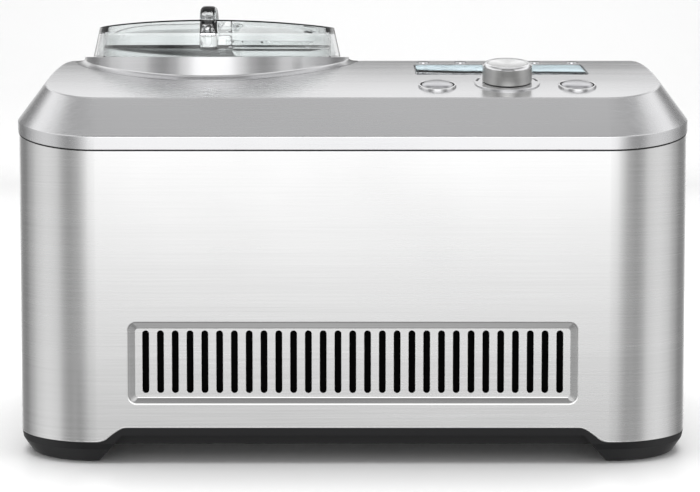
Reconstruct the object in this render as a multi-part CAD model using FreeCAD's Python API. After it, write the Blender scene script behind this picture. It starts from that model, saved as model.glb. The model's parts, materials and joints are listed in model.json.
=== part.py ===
import FreeCAD, Part
import math
import os

# Countertop ice cream maker with its own compressor.
# Frame: +Z up, +X to the right of a person facing the front, -Y to the front.
# The origin is on the surface it stands on, under the middle of its outline.
# All sizes are in millimetres.

# ---- outline and skins -------------------------------------------------------
WIDTH = 400.0             # cover, left to right
DEPTH = 286.0             # cover, front to back
CORNER_R = 52.0           # plan radius of the four corners
CREST_Y = 17.0            # line where the deck and the seam are highest
DECK_TOP = 232.5          # height of the deck at its crest
DECK_R = 500.0            # radius of the deck, rolled about X
SEAM_TOP = 201.5          # height of the seam at its crest
SEAM_R = 669.0            # radius of the seam, rolled about X
SEAM_GAP = 0.8            # shadow gap between the wrap and the cover
CHAMFER_RUN = 16.5        # level width of the cover's sloping edge
CHAMFER_DROP = 22.05      # height of the cover's sloping edge
COVER_WALL = 2.5
DECK_EDGE_R = 2.0         # rounding where the slope meets the deck
BAND_EDGE_R = 1.6         # rounding where the slope meets the band
WRAP_INSET = 0.7          # wrap set in from the cover
WRAP_WALL = 0.8
SEAL_WIDTH = 3.2          # gasket under the cover's edge
SEAL_HEIGHT = 5.0
CLEAR = 0.3               # usual gap between neighbours

# ---- base ----------------------------------------------------------------
HEM_LOW = 12.8            # lower edge of the wrap above the feet
HEM_HIGH = 21.2           # lower edge of the wrap between the feet
ARCH_IN = 69.0            # high part of the hem ends this far in from the side
ARCH_OUT = 52.0           # the hem has come down this far in from the side
ARCH_EASE = 4.3           # level run of the hem's bend at each end
FOOT_LENGTH = 52.0        # a foot's sole, in from the side
FOOT_TAPER = 6.6          # a foot's wall leans in by this much
SOLE_Z = 0.8              # moulded sole, just above the rubber pads
FASCIA_Z = 16.6           # lower edge of the strip between the feet
TRAY_FLOOR_Z = 10.2       # underside of the tray
TRAY_FLOOR = 3.0
TRAY_WALL = 3.0
TRAY_TOP = 27.5
TRAY_STEP = 9.0           # tray sides set in below the strip
SIDE_FOOT = 81.0          # a foot's length along the side
PAD_R = 12.0
PAD_HEIGHT = 3.0
PAD_IN_X = 34.0           # pad's centre, in from the side
PAD_IN_Y = 37.0           # pad's centre, in from the front or back

# ---- front vent and rear panel ---------------------------------------------
VENT_W = 259.7
VENT_H = 47.5
VENT_Z = 58.65
VENT_R = 5.0
VENT_DEEP = 2.0
VENT_LIP_X = 4.15
VENT_LIP_Z = 3.4
SLOT_COUNT = 29
SLOT_PITCH = 8.54
SLOT_W = 3.96
SLOT_LOW = 41.05
SLOT_HIGH = 77.5
REAR_W = 244.0
REAR_H = 124.0
REAR_Z = 98.0
REAR_R = 8.0
REAR_WALL = 2.4
REAR_SLOTS = 22
REAR_SCREW_R = 1.6
REAR_LIP = 8.0

# ---- freezing well, bowl and drive ------------------------------------------
BOWL_X = -87.5            # axis of the bowl
COLLAR_TOP = 235.0
COLLAR_WALL = 6.5
COLLAR_FLARE = 6.0        # how far the collar spreads on the deck
COLLAR_RISE = 1.8         # how high the spread foot climbs
COLLAR_EDGE = 0.2         # thickness of the collar's outer edge
COLLAR_TUBE = 2.0
COLLAR_GAP = 0.5          # collar round the well's flange
WELL_GAP = 1.5            # well round the bowl
WELL_WALL = 1.5
WELL_BOTTOM = 109.0
WELL_TOP = 228.7
WELL_LIP = 2.0            # flange beyond the well's wall
BOWL_R = 73.0
BOWL_WALL = 1.5
BOWL_FLOOR = 112.0
BOWL_LIP = 3.5            # rim beyond the bowl's wall
BOWL_RIM = 2.0
COLUMN_WALL = 2.0
COLUMN_GAP = 2.5          # column round the shaft
COLUMN_TOP = 185.0
SHAFT_R = 6.0
SHAFT_FIT = 0.05          # running fit of a shaft in its bush
SEAL_LIP = 0.35           # gap between the shaft and its seal
SHAFT_LOW = 32.0
HEX_CUT = 1.0             # the shaft's head is this much less than its diameter across the flats
HEX_HEAD = 15.0
HUB_WALL = 3.0
PADDLE_LOW = 115.5
PADDLE_TOP = 203.0
BLADE_GAP = 1.5           # blades inside the bowl's wall
BLADE_T = 3.0
COIL_R = 3.2
COIL_TURNS = 9
COIL_PITCH = 10.5
COIL_LOW = 122.0
FOAM_WALL = 25.0          # foam beyond the well's wall
FOAM_LOW = 93.0
FOAM_TOP = 214.0
GASKET_LIP = 5.5          # gasket beyond the collar's bore
GASKET_H = 3.0
BAIL_WIRE = 1.6
BAIL_GAP = 4.5            # bail inside the bowl's outside
BAIL_Z = 224.0
EAR_R = 3.4
EAR_T = 2.0

# ---- lid -------------------------------------------------------------------
LID_OVERLAP = 1.0         # lid beyond the collar's bore
LID_LEAN = 4.1            # the skirt leans in by this much
LID_SIDE_TOP = 253.6      # rim at the left and right
LID_CROWN = 3.8           # the rim is this much higher at the front and back
LID_RIM = 3.2
LID_WALL = 2.2
LID_FLOOR_EDGE = 242.2
LID_DISH = 5.0
HANDLE_TOP = 266.0
HANDLE_W = 10.5
HANDLE_IN = 0.7           # handle's front end, in from the lid's foot
HANDLE_REAR_TOP = 254.5   # height of its low part
HANDLE_EDGE_R = 3.4       # rounding along its edges
HANDLE_BAR = 5.0
HANDLE_FOOT = 16.0
POCKET_W = 3.6            # oblong pocket in the front of the handle
POCKET_H = 11.0
POCKET_Z = 247.5
POCKET_DEEP = 4.0
HATCH_IN = 11.3           # hatch's edge, in from the lid's inner wall
HATCH_X = 13.0            # hinge edge, right of the lid's middle
HATCH_T = 2.4
HATCH_PIN_R = 1.25
SEAL_INSET = 2.0          # lid's seal, in from the top of the skirt
SEAL_WALL = 1.6

# ---- controls on the right of the deck ----------------------------------------
PANEL_X = 92.0
LCD_W = 105.2
LCD_D = 40.0
LCD_Y = -53.0
LCD_X = 91.1
LCD_T = 2.5
LCD_R = 2.5
DIAL_X = 92.0
DIAL_Y = -96.0
DIAL_R = 14.75
DIAL_H = 11.2
DIAL_EDGE = 1.5
DIAL_RIM = 3.0            # rim round the spun disc
DIAL_CAP_DEEP = 1.2
DIAL_RING_LIP = 5.05      # plate beyond the knob
DIAL_RING_T = 0.8
DIAL_STEM_R = 3.0
BUTTON_Y = -104.0
POWER_X = 50.1
START_X = 132.9
BUTTON_R = 9.3
BUTTON_RING_LIP = 2.2     # ring beyond the cap
BUTTON_RING_T = 1.6
BUTTON_DOME = 1.2
BUTTON_H = 4.4
MODE_Y = -20.0
MODE_PITCH = 23.6
MODE_COUNT = 5
MODE_R = 3.85
MODE_H = 4.6
MODE_PROUD = 1.0
STEM_R = 2.0
TRAVEL = 1.0              # how far each button goes down
BUTTON_GAP = 0.35
BOARD_DROP = 20.0         # control board under the deck
BOARD_T = 1.6
BOARD_W = 126.0
BOARD_D = 104.0
BOARD_Y = -66.0
POST_R = 3.0

# ---- gear train: module, teeth, height ------------------------------------------
MODULE = 1.25
TEETH_OUT = 60
TEETH_IDLER = 36
TEETH_PINION = 18
PRESSURE = 20.0
BACKLASH = 0.12
GEAR_LOW = 36.0
GEAR_T = 9.0
CASE_FLOOR = 3.0
CASE_WALL = 3.0
CASE_LOW = 26.0
CASE_TOP = 52.0
CASE_LID = 3.0
IDLER_PIN_R = 3.0
MOTOR_R = 25.0
MOTOR_TOP = 91.0
ROTOR_R = 2.5
CASE_SCREW_R = 1.6

# ---- cold circuit and electrics ------------------------------------------------
COMP_X = 112.0
COMP_Y = 34.0
COMP_R = 60.0
COMP_LOW = 28.0
COMP_TOP = 176.0
COMP_FOOT_T = 3.0
COMP_PITCH_X = 104.0
COMP_PITCH_Y = 74.0
MOUNT_R = 9.0
MOUNT_PIN = 3.0
COND_X = 88.0
COND_BACK = 27.0          # condenser's middle, behind the front
COND_W = 120.0
COND_D = 20.0
COND_H = 84.0
FINS = 23
FIN_T = 0.8
COND_TUBE_R = 3.0
FAN_BACK = 24.0           # fan's middle, behind the condenser's
FAN_SIZE = 84.0
FAN_T = 22.0
FAN_R = 38.0
FAN_HUB_R = 15.0
FAN_BLADES = 7
PIPE_R = 2.4
PIPE_BEND = 5.0           # radius of a pipe's bends
DRIER_R = 9.0
BOARD_MAIN_W = 96.0
BOARD_MAIN_H = 66.0
GLAND_X = 92.0
GLAND_Z = 52.0
GLAND_BORE = 3.75
GLAND_R = 8.0
GLAND_LEN = 14.0

# ---- worked out from the sizes above ----------------------------------------
HALF_W = WIDTH / 2
HALF_D = DEPTH / 2
SLOPE = CHAMFER_RUN / CHAMFER_DROP
WRAP_IN = WRAP_INSET + WRAP_WALL
TRAY_INSET = WRAP_IN + CLEAR
DECK_AXIS_Z = DECK_TOP - DECK_R
SEAM_AXIS_Z = SEAM_TOP - SEAM_R
APEX_Z = DECK_TOP + 17.5
FLOOR_TOP = TRAY_FLOOR_Z + TRAY_FLOOR
ARCH_HALF = HALF_W - ARCH_IN
ARCH_FOOT = HALF_W - ARCH_OUT
FOOT_INNER = HALF_W - FOOT_LENGTH
SIDE_ARCH_HALF = HALF_D - SIDE_FOOT
PAD_X = HALF_W - PAD_IN_X
PAD_Y = HALF_D - PAD_IN_Y
COND_Y = COND_BACK - HALF_D
FAN_Y = COND_Y + FAN_BACK
WELL_BORE = BOWL_R + WELL_GAP
WELL_FLANGE = WELL_BORE + WELL_WALL + WELL_LIP
COLLAR_BORE = WELL_FLANGE + COLLAR_GAP
COLLAR_R = COLLAR_BORE + COLLAR_WALL
BOWL_RIM_R = BOWL_R + BOWL_LIP
BAIL_R = BOWL_R - BAIL_GAP
BLADE_R = BOWL_R - BOWL_WALL - BLADE_GAP
FOAM_R = WELL_BORE + WELL_WALL + FOAM_WALL
GASKET_R = COLLAR_BORE + GASKET_LIP
COLUMN_BORE = SHAFT_R + COLUMN_GAP
COLUMN_R = COLUMN_BORE + COLUMN_WALL
HEX_FLATS = 2 * SHAFT_R - HEX_CUT
PIN_HUB_R = COLUMN_R + 1.2
LID_FOOT_R = COLLAR_BORE + LID_OVERLAP
LID_TOP_R = LID_FOOT_R - LID_LEAN
LID_BORE = LID_TOP_R - LID_RIM - 0.9
HANDLE_FRONT = LID_FOOT_R - HANDLE_IN
HANDLE_BACK = HANDLE_FRONT
HATCH_R = LID_BORE - HATCH_IN
SEAL_OUT = LID_TOP_R - SEAL_INSET
SEAL_IN = SEAL_OUT - SEAL_WALL
DIAL_CAP_R = DIAL_R - DIAL_RIM
DIAL_RING_R = DIAL_R + DIAL_RING_LIP
BUTTON_RING_R = BUTTON_R + BUTTON_RING_LIP
BOWL_TOP = WELL_TOP + CLEAR + BOWL_RIM
IDLER_X = BOWL_X + MODULE * (TEETH_OUT + TEETH_IDLER) / 2
MOTOR_X = IDLER_X + MODULE * (TEETH_IDLER + TEETH_PINION) / 2


def vec(x, y, z):
    """Point or direction."""
    return FreeCAD.Vector(x, y, z)


def save(name, shape):
    """Write one sub-part."""
    shape.exportStep("parts/" + name + ".step")


def block(x0, x1, y0, y1, z0, z1):
    """Box between two corners."""
    return Part.makeBox(x1 - x0, y1 - y0, z1 - z0, vec(x0, y0, z0))


def disc(r, z0, z1, x=0.0, y=0.0):
    """Upright cylinder."""
    return Part.makeCylinder(r, z1 - z0, vec(x, y, z0))


def ring(outer, inner, z0, z1, x=0.0, y=0.0):
    """Upright tube."""
    return disc(outer, z0, z1, x, y).cut(disc(inner, z0 - 1, z1 + 1, x, y))


def rod_x(r, x0, x1, y, z):
    """Cylinder along X."""
    return Part.makeCylinder(r, x1 - x0, vec(x0, y, z), vec(1, 0, 0))


def rod_y(r, y0, y1, x, z):
    """Cylinder along Y."""
    return Part.makeCylinder(r, y1 - y0, vec(x, y0, z), vec(0, 1, 0))


def plan_wire(inset, z):
    """Outline of the body, set in by a distance, at one height."""
    a = HALF_W - inset
    b = HALF_D - inset
    r = CORNER_R - inset
    return rounded_wire(a, b, r, z)


def rounded_wire(a, b, r, z):
    """Rounded rectangle of half sizes a and b in a level plane."""
    k = r * math.sqrt(0.5)
    edges = []
    corners = [(1, 1, 0), (-1, 1, 1), (-1, -1, 2), (1, -1, 3)]
    for sx, sy, turn in corners:
        cx = sx * (a - r)
        cy = sy * (b - r)
        start = math.radians(90 * turn)
        end = start + math.pi / 2
        p0 = vec(cx + r * math.cos(start), cy + r * math.sin(start), z)
        p1 = vec(cx + sx * k, cy + sy * k, z)
        p2 = vec(cx + r * math.cos(end), cy + r * math.sin(end), z)
        edges.append((p0, p1, p2))
    out = []
    for index, (p0, p1, p2) in enumerate(edges):
        out.append(Part.Arc(p0, p1, p2).toShape())
        follower = edges[(index + 1) % 4][0]
        out.append(Part.LineSegment(p2, follower).toShape())
    return Part.Wire(out)


def prism(wire, height):
    """Solid straight up from a flat outline."""
    return Part.Face(wire).extrude(vec(0, 0, height))


def body_prism(inset, z0, z1):
    """Solid of the body's outline."""
    return prism(plan_wire(inset, z0), z1 - z0)


def rounded_box(x, y, a, b, r, z0, z1):
    """Block with rounded upright edges."""
    return prism(rounded_wire(a, b, r, z0), z1 - z0).translated(vec(x, y, 0))


def facing_y(shape, x, y, z):
    """Turn a shape built upright so that its +Z looks to +Y, and place it."""
    turned = shape.copy()
    turned.rotate(vec(0, 0, 0), vec(1, 0, 0), -90)
    turned.translate(vec(x, y, z))
    return turned


def roll(radius, axis_z):
    """Large cylinder about X that carries the deck or the seam."""
    return Part.makeCylinder(radius, WIDTH + 40, vec(-HALF_W - 20, CREST_Y, axis_z), vec(1, 0, 0))


def deck_height(y, drop=0.0):
    """Height of the deck, or of a surface at a depth under it."""
    radius = DECK_R - drop
    return DECK_AXIS_Z + math.sqrt(radius ** 2 - (y - CREST_Y) ** 2)


def deck_tilt(y):
    """Angle of the deck's normal from upright, in degrees, positive to the front."""
    return math.degrees(math.asin((CREST_Y - y) / DECK_R))


def on_deck(shape, x, y):
    """Stand a shape built about the origin on the deck, square to it."""
    placed = shape.copy()
    placed.rotate(vec(0, 0, 0), vec(1, 0, 0), deck_tilt(y))
    placed.translate(vec(x, y, deck_height(y)))
    return placed


def revolve(points, x=0.0, y=0.0):
    """Solid of revolution from a closed outline of (radius, height) points."""
    corners = [vec(r, 0, z) for r, z in points]
    face = Part.Face(Part.makePolygon(corners + [corners[0]]))
    return face.revolve(vec(0, 0, 0), vec(0, 0, 1), 360).translated(vec(x, y, 0))


def fuse_all(shapes):
    """One solid from touching or overlapping shapes."""
    first = shapes[0]
    if len(shapes) == 1:
        return first
    return first.fuse(shapes[1:]).removeSplitter()


# ---- skins -------------------------------------------------------------------


def curved_wire(inset_at, height_at):
    """Body outline whose inset and height follow the deck as it rolls."""
    a = HALF_W - CORNER_R
    b = HALF_D - CORNER_R
    inner_r = CORNER_R - CHAMFER_RUN

    def spot(sx, sy, angle):
        """Point round a corner, with the deck height above its chamfer's edge."""
        deck = deck_height(sy * b + inner_r * math.sin(angle))
        r = CORNER_R - inset_at(deck)
        return vec(sx * a + r * math.cos(angle), sy * b + r * math.sin(angle), height_at(deck))

    def side(sx, y):
        """Point on the left or right side."""
        deck = deck_height(y)
        return vec(sx * (HALF_W - inset_at(deck)), y, height_at(deck))

    edges = []
    steps = 6
    for sx, sy, turn in [(1, 1, 0), (-1, 1, 1), (-1, -1, 2), (1, -1, 3)]:
        start = math.pi / 2 * turn
        corner = [spot(sx, sy, start + math.pi / 2 * i / steps) for i in range(steps + 1)]
        curve = Part.BSplineCurve()
        curve.interpolate(corner)
        edges.append(curve.toShape())
        if turn == 0:
            edges.append(Part.LineSegment(corner[-1], spot(-1, 1, math.pi / 2)).toShape())
        elif turn == 1:
            line = Part.BSplineCurve()
            line.interpolate([side(-1, b - 2 * b * i / steps) for i in range(steps + 1)])
            edges.append(line.toShape())
        elif turn == 2:
            edges.append(Part.LineSegment(corner[-1], spot(1, -1, -math.pi / 2)).toShape())
        else:
            line = Part.BSplineCurve()
            line.interpolate([side(1, -b + 2 * b * i / steps) for i in range(steps + 1)])
            edges.append(line.toShape())
    return Part.Wire(edges)


def tent(wall):
    """Upper body with its sloping edge, set in all round by a wall."""
    lean = math.hypot(CHAMFER_RUN, CHAMFER_DROP) / CHAMFER_DROP * wall
    shoulder = (lean - wall) / SLOPE

    def low_inset(deck):
        """Upright sides."""
        return wall

    def low_height(deck):
        """Top of the upright band."""
        return deck - CHAMFER_DROP - shoulder

    def high_inset(deck):
        """Slope carried on above the deck."""
        return CHAMFER_RUN + (APEX_Z - deck) * SLOPE + lean

    def high_height(deck):
        """Level top."""
        return APEX_Z

    base = plan_wire(wall, 140.0)
    band = curved_wire(low_inset, low_height)
    apex = curved_wire(high_inset, high_height)
    solid = Part.makeLoft([base, band, apex], True, True)
    solid = solid.common(roll(DECK_R - wall, DECK_AXIS_Z))
    if wall > 0:
        return solid
    solid = solid.makeFillet(DECK_EDGE_R, [e for e in solid.Edges if on_roll(e)])
    return solid.makeFillet(BAND_EDGE_R, [e for e in solid.Edges if on_band(e)])


def edge_middle(edge):
    """Point half way along an edge."""
    return edge.valueAt((edge.FirstParameter + edge.LastParameter) / 2)


def on_roll(edge):
    """Whether an edge lies where the slope meets the deck."""
    point = edge_middle(edge)
    return point.z > SEAM_TOP and abs(point.z - deck_height(point.y)) < CLEAR


def on_band(edge):
    """Whether an edge lies where the slope meets the upright band."""
    point = edge_middle(edge)
    expected = deck_height(point.y) - CHAMFER_DROP
    level = abs(edge.tangentAt(edge.FirstParameter).z) < 0.6
    return level and abs(point.z - expected) < CHAMFER_DROP / 2


def panel_holes():
    """Openings in the deck for the display, dial, buttons and bowl."""
    tools = [disc(COLLAR_BORE + COLLAR_TUBE + CLEAR, 190, 260, BOWL_X, 0)]
    window = rounded_box(0, 0, LCD_W / 2 + CLEAR, LCD_D / 2 + CLEAR, LCD_R + CLEAR, -8, 8)
    tools.append(on_deck(window, LCD_X, LCD_Y))
    tools.append(on_deck(disc(DIAL_STEM_R + 0.6, -9, 9), DIAL_X, DIAL_Y))
    for x in (POWER_X, START_X):
        tools.append(on_deck(disc(BUTTON_R + BUTTON_GAP, -9, 9), x, BUTTON_Y))
    for x in mode_places():
        tools.append(on_deck(disc(MODE_R + BUTTON_GAP, -9, 9), x, MODE_Y))
    return tools


def mode_places():
    """X of each small button."""
    first = PANEL_X - MODE_PITCH * (MODE_COUNT - 1) / 2
    return [first + MODE_PITCH * i for i in range(MODE_COUNT)]


def board_solid(extra=0.0):
    """Control board hung under the deck, grown upwards by a margin."""
    flat = rounded_box(0, 0, BOARD_W / 2, BOARD_D / 2, 3, -BOARD_DROP - BOARD_T, -BOARD_DROP + extra)
    return on_deck(flat, PANEL_X, BOARD_Y)


def board_posts():
    """Four posts that hold the control board."""
    posts = []
    for sx in (-1, 1):
        for sy in (-1, 1):
            post = disc(POST_R, -BOARD_DROP, 10, sx * (BOARD_W / 2 - 6), sy * (BOARD_D / 2 - 6))
            posts.append(on_deck(post, PANEL_X, BOARD_Y))
    return posts


def top_cover():
    """Steel cover: band, sloping edge and rolled deck."""
    outer = tent(0.0)
    shell = outer.cut(tent(COVER_WALL))
    shell = shell.cut(roll(SEAM_R, SEAM_AXIS_Z))
    posts = [post.common(outer) for post in board_posts()]
    shell = shell.fuse(posts)
    return shell.cut(panel_holes()).removeSplitter()


def hem_region(lift, top):
    """Everything above the wrap's lower edge, as seen from the front."""
    y = HALF_D + 20
    low = HEM_LOW + lift
    high = HEM_HIGH + lift
    outer = HALF_W + 20
    mid = (ARCH_HALF + ARCH_FOOT) / 2
    half = (low + high) / 2

    def bend(sign):
        """S-shaped run between the two heights."""
        poles = [vec(sign * ARCH_FOOT, -y, low), vec(sign * (ARCH_FOOT - ARCH_EASE), -y, low),
                 vec(sign * mid, -y, half), vec(sign * (ARCH_HALF + ARCH_EASE), -y, high),
                 vec(sign * ARCH_HALF, -y, high)]
        curve = Part.BSplineCurve()
        curve.buildFromPoles(poles)
        return curve.toShape()

    def line(a, b):
        """Straight edge."""
        return Part.LineSegment(vec(a[0], -y, a[1]), vec(b[0], -y, b[1])).toShape()

    edges = [line((-outer, low), (-ARCH_FOOT, low)), bend(-1), line((-ARCH_HALF, high), (ARCH_HALF, high)),
             bend(1), line((ARCH_FOOT, low), (outer, low)), line((outer, low), (outer, top)),
             line((outer, top), (-outer, top)), line((-outer, top), (-outer, low))]
    wire = Part.Wire(Part.sortEdges(edges)[0])
    return Part.Face(wire).extrude(vec(0, 2 * y, 0))


def vent_tool(grow, deep):
    """Pressed recess of the front vent, as a tapered block."""
    front = rounded_wire(VENT_W / 2 + grow, VENT_H / 2 + grow, VENT_R + grow, 0)
    half_w = VENT_W / 2 - VENT_LIP_X + grow
    half_h = VENT_H / 2 - VENT_LIP_Z + grow
    back = rounded_wire(half_w, half_h, VENT_R / 2 + grow, deep)
    solid = Part.makeLoft([front, back], True, True)
    return facing_y(solid, 0, -HALF_D + WRAP_INSET, VENT_Z)


def slot(width, low, high, x):
    """Upright slot with round ends, long enough to pass through a wall."""
    r = width / 2
    flat = rounded_wire(r, (high - low) / 2, r - 0.001, -20)
    return facing_y(prism(flat, 40), x, 0, (low + high) / 2)


def body_wrap():
    """Brushed wrap with the pressed vent in front and an opening behind."""
    band = body_prism(WRAP_INSET, HEM_LOW - 1, 215).cut(body_prism(WRAP_IN, HEM_LOW - 2, 216))
    band = band.common(hem_region(0, 230))
    band = band.common(roll(SEAM_R - SEAM_GAP, SEAM_AXIS_Z))
    dish = vent_tool(WRAP_WALL, VENT_DEEP + WRAP_WALL).cut(vent_tool(0, VENT_DEEP))
    band = band.cut(vent_tool(0, VENT_DEEP)).fuse(dish)
    first = -SLOT_PITCH * (SLOT_COUNT - 1) / 2
    slots = [slot(SLOT_W, SLOT_LOW, SLOT_HIGH, first + SLOT_PITCH * i).translated(vec(0, -HALF_D, 0))
             for i in range(SLOT_COUNT)]
    rear = facing_y(rounded_box(0, 0, REAR_W / 2, REAR_H / 2, REAR_R, -20, 20), 0, HALF_D, REAR_Z)
    holes = [rod_y(REAR_SCREW_R + 0.15, HALF_D - 10, HALF_D + 5, x, z) for x, z in rear_screw_places()]
    return band.cut(slots).cut([rear] + holes)


def rear_screw_places():
    """Centres of the screws in the rear panel."""
    x = REAR_W / 2 + REAR_LIP / 2 - 1
    z = REAR_H / 2 - 12
    return [(sx * x, REAR_Z + sz * z) for sx in (-1, 1) for sz in (-1, 1)]


def rear_panel():
    """Vented plastic panel behind the opening, with posts for the main board."""
    back = HALF_D - WRAP_IN - CLEAR
    flange = facing_y(rounded_box(0, 0, REAR_W / 2 + REAR_LIP, REAR_H / 2 + REAR_LIP, REAR_R, -REAR_WALL, 0),
                      0, back, REAR_Z)
    pad = facing_y(rounded_box(0, 0, REAR_W / 2 - CLEAR, REAR_H / 2 - CLEAR, REAR_R, -1, WRAP_IN - 0.6),
                   0, back, REAR_Z)
    boss = rod_y(GLAND_R + 3, back - GLAND_LEN, back, GLAND_X, GLAND_Z)
    posts = [rod_y(POST_R, back - REAR_WALL - 15, back - 1, main_board_x(sx), main_board_z(sz))
             for sx in (-1, 1) for sz in (-1, 1)]
    panel = fuse_all([flange, pad, boss] + posts)
    holes = [rod_y(REAR_SCREW_R + 0.15, back - 10, back + 5, x, z) for x, z in rear_screw_places()]
    holes.append(rod_y(GLAND_R + 0.05, back - 20, back + 5, GLAND_X, GLAND_Z))
    first = -SLOT_PITCH * (REAR_SLOTS - 1) / 2
    slots = [slot(SLOT_W, REAR_Z + 22, REAR_Z + 52, first + SLOT_PITCH * i).translated(vec(0, HALF_D, 0))
             for i in range(REAR_SLOTS)]
    return panel.cut(holes).cut(slots)


def main_board_x(sign):
    """X of a post of the main board."""
    return -52 + sign * (BOARD_MAIN_W / 2 - 6)


def main_board_z(sign):
    """Height of a post of the main board."""
    return REAR_Z - 14 + sign * (BOARD_MAIN_H / 2 - 6)


def rear_screws():
    """Four screws through the wrap into the rear panel's lip."""
    back = HALF_D - WRAP_INSET
    screws = []
    for x, z in rear_screw_places():
        shank = rod_y(REAR_SCREW_R, back - 7, back, x, z)
        head = rod_y(2.7, back + 0.02, back + 0.65, x, z)
        cross = rod_y(REAR_SCREW_R, back - 0.5, back + 0.1, x, z)
        socket = block(x - 1.6, x + 1.6, back + 0.35, back + 1, z - 0.35, z + 0.35)
        screws.append(shank.fuse([head, cross]).removeSplitter().cut(socket))
    return Part.makeCompound(screws)


def cover_seal():
    """Dark gasket that shows as the line between wrap and cover."""
    inset = WRAP_IN + CLEAR
    loop = body_prism(inset, 150, 230).cut(body_prism(inset + SEAL_WIDTH, 149, 231))
    loop = loop.common(roll(SEAM_R, SEAM_AXIS_Z))
    return loop.cut(roll(SEAM_R - SEAL_HEIGHT, SEAM_AXIS_Z))


def foot_gap(half_low, half_high, z_high, along_y):
    """Passage under the tray between the feet, with sloping ends."""
    reach = HALF_W + 40
    low = vec(-half_low, -reach, -5)
    points = [low, vec(half_low, -reach, -5), vec(half_low, -reach, 0), vec(half_high, -reach, z_high),
              vec(-half_high, -reach, z_high), vec(-half_low, -reach, 0), low]
    tool = Part.Face(Part.makePolygon(points)).extrude(vec(0, 2 * reach, 0))
    if not along_y:
        tool.rotate(vec(0, 0, 0), vec(0, 0, 1), 90)
    return tool


def base_tray():
    """Moulded tray with four corner feet and the strip between them."""
    sole = plan_wire(FOOT_TAPER, SOLE_Z)
    knee = plan_wire(1.6, HEM_LOW - 4.5)
    hem = plan_wire(WRAP_INSET + 0.2, HEM_LOW - 1.2)
    top = plan_wire(WRAP_INSET + 0.2, TRAY_TOP)
    tray = Part.makeLoft([sole, knee, hem, top], True, True)
    sleeve = body_prism(-5, 0, TRAY_TOP + 5).cut(body_prism(TRAY_INSET, -1, TRAY_TOP + 6))
    tray = tray.cut(sleeve.common(hem_region(-0.4, TRAY_TOP + 20)))
    tray = tray.cut(body_prism(TRAY_INSET + TRAY_WALL, FLOOR_TOP, TRAY_TOP + 5))
    tray = tray.cut(foot_gap(FOOT_INNER, FOOT_INNER - 14.5, FASCIA_Z, True))
    tray = tray.cut(foot_gap(SIDE_ARCH_HALF + 12, SIDE_ARCH_HALF, TRAY_FLOOR_Z - 1.5, False))
    raised = body_prism(TRAY_STEP, TRAY_FLOOR_Z, FASCIA_Z + 2)
    raised = raised.common(block(-FOOT_INNER, FOOT_INNER, -HALF_D, HALF_D, 0, 30))
    raised = raised.cut(body_prism(TRAY_STEP + TRAY_WALL, FLOOR_TOP, 40))
    tray = tray.fuse(raised)
    pockets = [disc(PAD_R + 0.2, -1, PAD_HEIGHT, sx * PAD_X, sy * PAD_Y) for sx in (-1, 1) for sy in (-1, 1)]
    tray = tray.cut(pockets)
    props = [disc(5, FLOOR_TOP - 1, FOAM_LOW - CLEAR, BOWL_X + x, y)
             for x, y in foam_props()]
    pins = [disc(MOUNT_PIN, FLOOR_TOP - 1, COMP_LOW + 6, x, y) for x, y in comp_feet()]
    legs = [disc(6, FLOOR_TOP - 1, CASE_LOW, x, y) for x, y in case_legs()]
    return tray.fuse(props + pins + legs).removeSplitter()


def foam_props():
    """Posts under the insulation, from the bowl's axis."""
    out = []
    for turn, inward in ((138.5, 7.5), (-138.5, 7.5), (83.0, 20.0), (-83.0, 20.0)):
        angle = math.radians(turn)
        reach = FOAM_R - inward
        out.append((reach * math.cos(angle), reach * math.sin(angle)))
    return out


def comp_feet():
    """Centres of the compressor's four mounts."""
    half_x = COMP_PITCH_X / 2
    half_y = COMP_PITCH_Y / 2
    return [(COMP_X + sx * half_x, COMP_Y + sy * half_y) for sx in (-1, 1) for sy in (-1, 1)]


def foot_pad(sx, sy):
    """Rubber pad with a small chamfer round its sole."""
    pad = disc(PAD_R, 0, PAD_HEIGHT, sx * PAD_X, sy * PAD_Y)
    return pad.makeChamfer(0.6, [pad.Edges[2]])


# ---- bowl, well and collar -----------------------------------------------------


def bowl_collar():
    """Steel ring on the deck, spreading at its foot, with a tube down to the gasket."""
    rings = [(COLLAR_R + COLLAR_FLARE, 200.0, False)]
    steps = 6
    for i in range(steps + 1):
        angle = math.pi / 2 * i / steps
        r = COLLAR_R + COLLAR_FLARE * (1 - math.sin(angle))
        rings.append((r, COLLAR_EDGE + COLLAR_RISE * (1 - math.cos(angle)), True))
    rings.append((COLLAR_R, APEX_Z, False))
    wires = []
    spots = 32
    for r, z, follows in rings:
        points = []
        for i in range(spots):
            angle = 2 * math.pi * i / spots
            height = deck_height(r * math.sin(angle)) + z if follows else z
            points.append(vec(BOWL_X + r * math.cos(angle), r * math.sin(angle), height))
        curve = Part.BSplineCurve()
        curve.interpolate(Points=points, PeriodicFlag=True)
        wires.append(Part.Wire(curve.toShape()))
    solid = Part.makeLoft(wires, True, True)
    solid = solid.common(block(-HALF_W, HALF_W, -HALF_D, HALF_D, 190, COLLAR_TOP))
    solid = solid.cut(roll(DECK_R + 0.05, DECK_AXIS_Z))
    bottom = FOAM_TOP + GASKET_H + 2 * CLEAR
    inner = disc(COLLAR_BORE + COLLAR_TUBE, bottom, COLLAR_TOP - 1, BOWL_X, 0)
    return solid.fuse(inner).cut(disc(COLLAR_BORE, 190, 250, BOWL_X, 0)).removeSplitter()


def freezer_well():
    """Aluminium can that the bowl stands in."""
    outer = WELL_BORE + WELL_WALL
    boss = SHAFT_R + 6
    points = [(boss, WELL_BOTTOM), (outer, WELL_BOTTOM), (outer, WELL_TOP - WELL_WALL),
              (WELL_FLANGE, WELL_TOP - WELL_WALL), (WELL_FLANGE, WELL_TOP), (WELL_BORE, WELL_TOP),
              (WELL_BORE, WELL_BOTTOM + WELL_WALL), (boss, WELL_BOTTOM + WELL_WALL)]
    return revolve(points, BOWL_X)


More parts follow.
